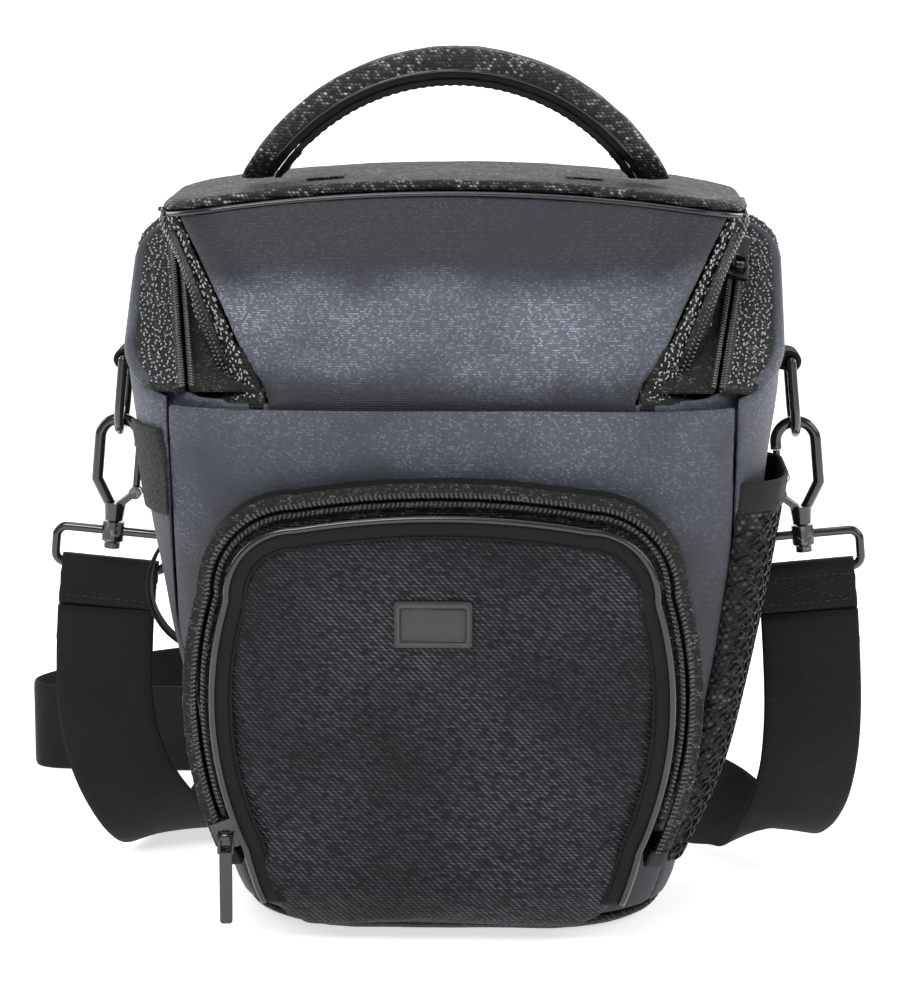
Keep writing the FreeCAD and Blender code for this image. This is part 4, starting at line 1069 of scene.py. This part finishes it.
def make_lid():
    panel = copy_nodes("lid_front_panel_flat", ["lid_front_panel"])
    remesh(panel, 1.5, 3)
    co = coordinates(panel) / MM
    up = np.clip((co[:, 2] - 205.0) / 66.0, 0, 1)
    middle = np.clip(1.0 - (co[:, 0] / panel_edge(co[:, 2])) ** 4, 0, 1)
    co[:, 1] -= np.sin(up * math.pi) ** 0.8 * middle * 2.6
    set_coordinates(panel, co * MM)
    panel = joined("lid_front_panel_soft", [panel, hinge_strip(0)])
    remesh(panel, 1.3, 7)
    wrinkle(panel, 0.5, 60.0, 11.0, 0.3)
    fold_at_hinge(panel, SLATE_LID, ["lid_front_panel"])
    bands = []
    for word, side in (("left", -1), ("right", 1)):
        band = copy_nodes("lid_side_band_flat", ["lid_side_band_" + word])
        band = joined("lid_side_band_" + word + "_soft", [band, hinge_strip(side)])
        remesh(band, 1.3, 4)
        wrinkle(band, 0.4, 26.0, 13.0, 0.5)
        fold_at_hinge(band, WEAVE_BAND, ["lid_side_band_" + word])
        bands.append(band)
    piece_from("lid_back_strip", 1.5, 4, WEAVE_BAND, 0.4, 30.0, 14.0, 0.4)
    top = copy_nodes("lid_top_panel_soft", ["lid_top_panel"])
    remesh(top, 1.6, 4)
    co = coordinates(top) / MM
    dome = np.clip(1 - (co[:, 0] / 100.0) ** 2, 0, 1) * np.clip(1 - ((co[:, 1] - 9.0) / 46.0) ** 2, 0, 1)
    crown = crown_z(co[:, 0])
    co[:, 2] += np.where(co[:, 2] > crown - 2.0, dome * 0.35, 0.0)
    set_coordinates(top, co * MM)
    wrinkle(top, 0.28, 34.0, 16.0, 0.3)
    finish_piece(top, WEAVE_COARSE, "lid", ["lid_top_panel"])
    foam = piece_from("lid_foam", 2.2, 3, FOAM, 0.3, 35.0, 17.0)
    make_lid_piping()
    return bands


ZIP_PITCH = 1.75
SHOULDER_SLOPE = math.atan(0.48)


def behind_front(offset):
    """The part of the main zip's line, moved outwards by offset, that lies behind the lid's front."""
    return [p for p in main_zip_line(offset) if p.y > -50.0 * MM]


def make_main_zip(bands):
    body_half = piece_from("main_zip_body_half", 0.8, 2, ZIP_TAPE, 0.25, 14.0, 21.0)
    piece_from("main_zip_lid_half", 0.8, 2, ZIP_TAPE, 0.2, 14.0, 22.0)
    normal = Vector((0, -math.sin(SHOULDER_SLOPE), math.cos(SHOULDER_SLOPE)))
    halves = (("main_coil_body", 1.75, ROOT, 0.35), ("main_coil_lid", -1.75, "lid", -0.35))
    for name, offset, body, turn in halves:
        places = []
        for centre, along in resample(main_zip_line(offset), ZIP_PITCH):
            across = along.cross(normal).normalized()
            tooth = (across + along * turn).normalized()
            places.append((centre + normal * 1.35 * MM, tooth, normal))
        finish_piece(beads(name, places, 2.5, 1.15, 1.3), ZIP_TEETH, body)
    trees = surface_of([body_half])
    for number, offset in enumerate((5.0, 8.0)):
        stitch_line(f"main_tape_stitch_{number}", trees, behind_front(offset), -normal, ROOT, 1.5, 0.8, 0.5)
    trees = surface_of(bands)
    front = Vector((0, 1, 0))
    places = []
    for side in (-1, 1):
        rungs = [Vector((side * chain_x(z), -100.0, z)) * MM for z in np.linspace(207.0, 268.0, 40)]
        landed = []
        for p in rungs:
            hit = land(trees, p, front)
            if hit:
                landed.append(hit)
        line = [place for place, _ in landed]
        for centre, along in resample(line, ZIP_PITCH):
            near = min(landed, key=lambda h: (h[0] - centre).length_squared)
            up = near[1]
            across = along.cross(up).normalized()
            for s in (-1, 1):
                tooth = (across + along * 0.3 * s).normalized()
                places.append((centre + across * (s * 1.25 * MM) + up * 1.2 * MM, tooth, up))
    finish_piece(beads("expansion_coil", places, 2.5, 1.15, 1.3), ZIP_TEETH, "lid")
    piece_from("expansion_zips", 0.6, 1, ZIP_TAPE)
    down = Vector((0.0, 0.35, -0.94))
    # painted glints along the shoulder band
    rows = [behind_front(offset) for offset in (4.2, 6.4, 8.6, 10.8, 13.0, 15.0)]
    sparkle_rows("shoulder_painted_glints", surface_of([body_half]), rows, down, ROOT, 2.3, 0.9, 3)
    # painted glints along the lid's side bands
    rows = []
    for side in (-1, 1):
        for shift in (-8.4, -6.6, -4.8, -3.0, -1.4):
            row = []
            for z in np.linspace(203.0, 270.0, 30):
                row.append(Vector((side * (chain_x(z) + shift), -70.0, z)) * MM)
            rows.append(row)
        for number in range(26):
            row = []
            for z in np.linspace(204.0, 268.0, 30):
                chain = chain_x(z)
                x = 74.0 + number * 2.7 - 22.0 + 1.0 * (z - 236.0)
                if chain + 4.2 < x < chain + 21.0:
                    row.append(Vector((side * x, -70.0, z)) * MM)
            if len(row) > 2:
                rows.append(row)
    sparkle_rows("lid_band_painted_glints", surface_of(bands), rows, front, "lid", 1.7, 0.8, 5)
    hard_piece("main_slider", ENAMEL, 0.3)
    hard_piece("main_pull", PULL, 0.3)


# ---------------------------------------------------------------- handle
HANDLE_Z = 236.5            # height of the arch's centre
HANDLE_SEAM_R = 83.0


def make_handle():
    cover = copy_nodes("handle_cover_all", ["handle_cover"])
    remesh(cover, 1.3, 6)
    co = coordinates(cover) / MM
    around = np.arctan2(co[:, 0], co[:, 2] - HANDLE_Z)
    radius = np.hypot(co[:, 0], co[:, 2] - HANDLE_Z)
    puff = np.clip(1.0 - np.abs(around) / 1.0, 0, 1)
    lift = np.where(radius > HANDLE_SEAM_R, 0.9, 0.3) * (0.4 + 0.6 * puff)
    n = normals(cover)
    co += n * lift[:, None]
    set_coordinates(cover, co * MM)
    wrinkle(cover, 0.3, 16.0, 31.0, 0.3)
    mesh = cover.data
    upper = []
    lower = []
    for polygon in mesh.polygons:
        centre = polygon.center
        r = math.hypot(centre.x, centre.z - HANDLE_Z * MM) / MM
        (upper if r > HANDLE_SEAM_R else lower).append(tuple(polygon.vertices))
    vertices = [v.co.copy() for v in mesh.vertices]
    halves = (("handle_cover_top", upper, WEAVE_COARSE), ("handle_cover_under", lower, BINDING))
    for name, faces, material in halves:
        part = make_object(name, *only_used(vertices, faces))
        finish_piece(part, material, "handle", ["handle_cover"] if name.endswith("top") else ())
    bpy.data.objects.remove(cover)
    trees = surface_of([bpy.data.objects["handle_cover_top"], bpy.data.objects["handle_cover_under"]])
    for word, side in (("front", -1), ("back", 1)):
        line = []
        for k in range(81):
            t = math.radians(-53.0 + 106.0 * k / 80)
            x = HANDLE_SEAM_R * math.sin(t)
            start = Vector((x, -4.0 + side * 30.0, HANDLE_Z + HANDLE_SEAM_R * math.cos(t))) * MM
            hit = land(trees, start, Vector((0, -side, 0)), 0.04)
            if hit:
                line.append(hit[0])
        if len(line) > 10:
            finish_piece(tube("handle_seam_" + word, line, 0.75), PIPING, "handle")
    core = piece_from("handle_core", 2.0, 2, FOAM)
    strip = copy_nodes("handle_base_strip_soft", ["handle_base_strip"])
    remesh(strip, 0.8, 3)
    drop_faces(strip, lambda c: math.hypot(c.x / MM, c.z / MM - HANDLE_Z) < 77.0)
    finish_piece(strip, BINDING, "handle", ["handle_base_strip"])
    anchors = copy_nodes("handle_anchors_soft", ["handle_anchors"])
    remesh(anchors, 0.6, 2)
    co = coordinates(anchors) / MM
    crown = crown_z(co[:, 0])
    co[:, 2] = np.minimum(co[:, 2], crown + 0.9)
    set_coordinates(anchors, co * MM)
    finish_piece(anchors, ANCHOR_CLOTH, body_of_node("handle_anchors"), ["handle_anchors"])
    trees = surface_of([strip])
    for y in (-13.0, 5.0):
        arc = []
        for k in range(41):
            t = math.radians(-44.0 + 88.0 * k / 40)
            arc.append(Vector((70.0 * math.sin(t), y, HANDLE_Z + 70.0 * math.cos(t))) * MM)
        places = []
        for centre, along in resample(arc, 3.0):
            out = (centre - Vector((0, centre.y, HANDLE_Z * MM))).normalized()
            hit = land(trees, centre, out, 0.03)
            if hit:
                places.append((hit[0] - out * 0.1 * MM, along, -out))
        finish_piece(beads(f"handle_stitch_{int(y)}", places, 2.0, 0.42, 0.42), THREAD, "handle")


# ---------------------------------------------------------------- front pocket
BADGE_LOW = (-16.5, 119.0)
BADGE_HIGH = (10.5, 135.0)


def pocket_frame(co):
    """Across, up and outwards coordinates, in millimetres, of points given in metres."""
    from_origin = co / MM - np.array(pocket_point(3.0, 0.0, 0.0)) / MM
    u = from_origin[:, 0] + 3.0
    v = from_origin[:, 2] * POCKET_COS - from_origin[:, 1] * POCKET_SIN
    w = -from_origin[:, 1] * POCKET_COS - from_origin[:, 2] * POCKET_SIN
    return u, v, w


def flatten_under_badge(skin):
    """The flap is flat where the badge is sewn on; gives how far out that flat place is."""
    co = coordinates(skin)
    u, v, w = pocket_frame(co)
    past = []
    for at, low, high in zip((u, v), BADGE_LOW, BADGE_HIGH):
        past.append(np.maximum(np.abs(at - (low + high) / 2) - (high - low) / 2, 0.0))
    away = np.hypot(*past)
    front = w > 12.5
    seat = float(np.median(w[front & (away < 1.0)])) - 0.3
    hold = np.clip(1.0 - (away - 2.0) / 6.0, 0.0, 1.0)
    back = np.maximum(w - seat, 0.0) * hold * front
    co -= np.array(POCKET_OUT)[None, :] * (back * MM)[:, None]
    set_coordinates(skin, co)
    print("badge seat", round(seat, 2))
    return seat


def rounded_loop(inset, radius, w):
    """A closed line round the badge, with rounded corners."""
    u0, v0 = BADGE_LOW[0] + inset, BADGE_LOW[1] + inset
    u1, v1 = BADGE_HIGH[0] - inset, BADGE_HIGH[1] - inset
    line = []
    for cu, cv, first in ((u1 - radius, v0 + radius, -90), (u1 - radius, v1 - radius, 0),
                          (u0 + radius, v1 - radius, 90), (u0 + radius, v0 + radius, 180)):
        for k in range(7):
            a = math.radians(first + 15.0 * k)
            line.append(pocket_point(cu + radius * math.cos(a), cv + radius * math.sin(a), w))
    return line


def make_badge(seat):
    """A moulded rubber plate with a raised border and a fine groove inside it, the groove's shade painted
    as a thin black cord; nothing is written on it.
    """
    plate = copy_nodes("pocket_badge_plate", ["pocket_badge"])
    co = coordinates(plate)
    w = pocket_frame(co)[2]
    lift = seat - float(w.min()) + 0.1
    co += np.array(POCKET_OUT)[None, :] * (lift * MM)
    set_coordinates(plate, co)
    face = float(w.max()) + lift
    ease_edges(plate, 0.3, 30)
    finish_piece(plate, RUBBER, "pocket_flap", ["pocket_badge"])
    border = tube("badge_border", rounded_loop(0.8, 1.2, face), 0.85, closed=True)
    finish_piece(border, RUBBER_EDGE, "pocket_flap")
    # painted shade: a thin black cord lies where the groove's shadow would be
    groove = tube("badge_groove_painted_shade", rounded_loop(2.1, 0.8, face), 0.3, closed=True)
    finish_piece(groove, PIPING, "pocket_flap")


def lower_face_w(v):
    """How far the lower front stands off the cover: it rounds under towards the base."""
    if v >= 26.0:
        return 14.1
    if v >= 10.0:
        return 9.0 + 5.1 * math.sin((v - 10.0) / 16.0 * math.pi / 2)
    return 3.0 + 6.0 * (v - 2.0) / 8.0


def trim_line(inset, low_v, lift):
    """A line on the pocket's face at a distance inside the zip, down to low_v on the lower front."""
    outline = offset_line(pocket_line(38.0), -inset)
    left_foot = outline[0]
    right_foot = outline[-1]
    steps = 14
    below = []
    for k in range(1, steps + 1):
        v = left_foot[1] - (left_foot[1] - low_v) * k / steps
        fall = left_foot[1] - v
        below.append((0.22 * fall + 0.0035 * fall * fall, v))
    left = [(left_foot[0] + d, v) for d, v in reversed(below)]
    right = [(right_foot[0] - d, v) for d, v in below]
    return [pocket_point(u, v, lower_face_w(v) + lift) for u, v in left + outline + right]


def bend_at_flap(obj, material, stands_for=()):
    """Gives one piece of cloth that belongs to the lower front and to the flap, and bends between them, its
    material, hides the nodes it stands for and bakes its place; it joins no body and nothing here bends it.
    """
    finish_piece(obj, material, None, stands_for)
    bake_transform(obj)


def make_pocket():
    skin = copy_nodes("pocket_front_soft", ["pocket_flap_panel", "pocket_lower_panel"])
    corners = []
    for w in (9.7, 14.0):
        for u, v in ((-76.2, 48.5), (79.2, 48.5), (79.2, 52.0), (-76.2, 52.0)):
            corners.append(pocket_point(u, v, w))
    bridge = make_object("bridge", corners, [(0, 3, 2, 1), (4, 5, 6, 7), (0, 1, 5, 4), (1, 2, 6, 5),
                                             (2, 3, 7, 6), (3, 0, 4, 7)])
    skin = joined("pocket_front_soft", [skin, bridge])
    remesh(skin, 3.0, 3)
    inflate(skin, 4.0, 2.4)
    subdivide(skin)
    wrinkle(skin, 0.4, 40.0, 41.0, 0.4)
    seat = flatten_under_badge(skin)
    bend_at_flap(skin, WEAVE, ["pocket_flap_panel", "pocket_lower_panel"])
    flat = []
    inner = trim_line(12.2, 19.0, 1.1)
    outer = trim_line(5.4, 19.0, 0.5)
    rows = 5
    for a, b in zip(outer, inner):
        for k in range(rows):
            t = k / (rows - 1)
            flat.append(a.lerp(b, t) + POCKET_OUT * (math.sin(t * math.pi) * 0.9 * MM))
    band = make_object("pocket_binding_soft", flat, grid_faces(len(outer), rows))
    thicken(band, 0.8, 0.0)
    bend_at_flap(band, BINDING, ["pocket_flap_binding"])
    bend_at_flap(tube("pocket_piping", trim_line(5.6, 19.0, 1.5), 1.3), PIPING)
    bend_at_flap(tube("pocket_piping_inner", trim_line(12.4, 19.0, 1.5), 0.6), BINDING)
    piece_from("pocket_gusset", 1.0, 3, BINDING, 0.35, 22.0, 44.0, 0.4)
    piece_from("pocket_zip_outer", 0.7, 2, ZIP_TAPE, 0.15, 12.0, 45.0)
    piece_from("pocket_zip_inner", 0.7, 2, ZIP_TAPE, 0.15, 12.0, 46.0)
    piece_from("zip_end_tabs", 1.0, 3, TAB_GREY, 0.2, 10.0, 47.0)
    halves = (("pocket_coil_outer", 1.7, ROOT, 38.0), ("pocket_coil_inner", -1.7, "pocket_flap", 51.0))
    for name, offset, body, low in halves:
        points = [pocket_point(u, v, 10.35) for u, v in offset_line(pocket_line(low), offset)]
        places = []
        for centre, along in resample(points, 1.7):
            across = along.cross(POCKET_OUT).normalized()
            tooth = (across + along * (0.3 if offset > 0 else -0.3)).normalized()
            places.append((centre, tooth, POCKET_OUT))
        finish_piece(beads(name, places, 2.3, 1.1, 1.1), ZIP_TEETH, body)
    make_badge(seat)
    hard_piece("pocket_slider", ENAMEL, 0.3)
    hard_piece("pocket_pull", PULL, 0.3)


# ---------------------------------------------------------------- sides
def side_outline(z, grow):
    """Right side of the body's outline at one height: points from the front corner to the back."""
    half = half_width(z) + grow
    y0 = front_y(z) - SLIP - grow
    r = 46.0 + grow
    return half, y0 + r, r


def side_point(y, z, grow):
    half, corner_y, r = side_outline(z, grow)
    if y >= corner_y:
        return Vector((half, y, z)) * MM
    x = half - r + math.sqrt(max(r * r - (corner_y - y) ** 2, 0.0))
    return Vector((x, y, z)) * MM


MESH_BACK_Y = 22.0


def mesh_front_y(z):
    """The net's front edge leans forward with height, along the cover's seam."""
    return -30.0 - (z - 35.0) * 0.135


def bulged_sheet(name, low, high, rows, columns, extra):
    """A sheet that follows the side's outline and stands off it between its edges."""
    vertices = []
    for j in range(rows + 1):
        z = low + (high - low) * j / rows
        rise = max(0.0, min(1.0, (z - 22.0) / 50.0))
        bulge = 1.6 + 6.4 * math.sin(rise * math.pi / 2) + extra
        for i in range(columns + 1):
            share = i / columns
            y = mesh_front_y(z) * (1 - share) + MESH_BACK_Y * share
            edge = min(1.0, 7.0 * share, 7.0 * (1 - share))
            vertices.append(side_point(y, z, 0.4 + (bulge - 0.4) * math.sqrt(edge)))
    return make_object(name, vertices, grid_faces(rows + 1, columns + 1))


def make_net():
    backing = bulged_sheet("mesh_pocket_ground", 22.5, 161.0, 60, 24, -0.6)
    thicken(backing, 0.5)
    finish_piece(backing, NET_GROUND, ROOT, ["mesh_pocket"])
    cells = bulged_sheet("cells", 22.5, 161.0, 58, 24, 0.0)
    vertices = [v.co.copy() for v in cells.data.vertices]
    wide = 25
    faces = []
    for j in range(0, 58, 2):
        for i in range(24):
            if (i + j // 2) % 2 == 0:
                continue
            left = j * wide + i
            below = max(j - 1, 0) * wide + i + 1
            above = min(j + 1, 57) * wide + i + 1
            faces.append((left, below, left + 2 if i < 23 else left + 1, above))
    bpy.data.objects.remove(cells)
    faces = [face for face in faces if len(set(face)) == 4]
    net = make_object("mesh_pocket_net", vertices, faces)
    wire = net.modifiers.new("wire", "WIREFRAME")
    wire.thickness = 1.0 * MM
    wire.use_even_offset = False
    bake(net)
    finish_piece(net, NET, ROOT)
    hem = bulged_sheet("mesh_hem_soft", 160.2, 172.0, 8, 30, 0.8)
    thicken(hem, 1.8)
    subdivide(hem)
    finish_piece(hem, ELASTIC, ROOT, ["mesh_hem"])
    places = []
    for height in (163.0, 169.6):
        line = [side_point(y, height, 9.3) for y in np.linspace(mesh_front_y(height) + 8.0, 14.0, 24)]
        for centre, along in resample(line, 2.6):
            places.append((centre, along, Vector((0.9, -0.43, 0.0))))
    finish_piece(beads("mesh_hem_stitch", places, 1.7, 0.5, 0.5), THREAD, ROOT)


def make_sides():
    make_net()
    patch = piece_from("loop_tape_patch", 0.6, 2, LOOP_TAPE)
    co = coordinates(patch)
    shag = np.array([noise.noise(Vector(p) * 1500.0) for p in co])
    set_coordinates(patch, co + normals(patch) * (shag * 0.35 * MM)[:, None])
    piece_from("accessory_loop", 0.6, 2, WEBBING)
    piece_from("dring_tabs", 0.8, 3, WEBBING, 0.15, 12.0, 53.0)
    for word in ("left", "right"):
        for node in ("d_ring_", "hook_body_", "hook_gate_", "strap_ring_"):
            hard_piece(node + word, ENAMEL, 0.0)
    hard_piece("strap_adjuster", PLASTIC, 0.5)


# ---------------------------------------------------------------- studio
def emissive(name, colour, strength):
    s = Shader(name, "")
    s.look(Base_Color=(colour, colour, colour, 1), Roughness=0.8, Emission_Color=(1, 1, 1, 1),
           Emission_Strength=strength)
    return s.material


def make_studio():
    corners = [(-14, -14, 0), (14, -14, 0), (14, 14, 0), (-14, 14, 0)]
    floor = make_object("floor", corners, [(0, 1, 2, 3)], False)
    floor.data.materials.append(emissive("floor_pale", 0.8, 0.66))
    corners = [(-5, 3.5, -0.5), (5, 3.5, -0.5), (5, 3.5, 4), (-5, 3.5, 4)]
    wall = make_object("backdrop", corners, [(3, 2, 1, 0)], False)
    wall.data.materials.append(emissive("backdrop_white", 0.8, 0.95))
    world = bpy.data.worlds.new("studio")
    scene.world = world
    world.use_nodes = True
    world.node_tree.nodes["Background"].inputs[0].default_value = (0.96, 0.98, 1.0, 1)
    world.node_tree.nodes["Background"].inputs[1].default_value = 0.30
    for name, place, size, power in (
        ("key", (-0.35, -1.1, 1.35), 0.7, 15.0),
        ("fill", (1.1, -0.6, 0.8), 0.7, 5.0),
        ("rim_left", (-1.1, 0.5, 0.7), 0.6, 5.0),
        ("rim_right", (1.1, 0.6, 0.7), 0.6, 5.0),
        ("top", (0.0, 0.2, 1.4), 0.8, 5.0),
    ):
        data = bpy.data.lights.new(name, "AREA")
        data.size = size
        data.energy = power
        light = bpy.data.objects.new(name, data)
        light.location = place
        light.rotation_euler = (Vector((0, 0, 0.14)) - Vector(place)).to_track_quat("-Z", "Y").to_euler()
        scene.collection.objects.link(light)
    scene.view_settings.view_transform = "Standard"


set_camera()
make_straps()
make_body()
make_rim_roll()
make_main_zip(make_lid())
make_handle()
make_pocket()
make_sides()
make_studio()
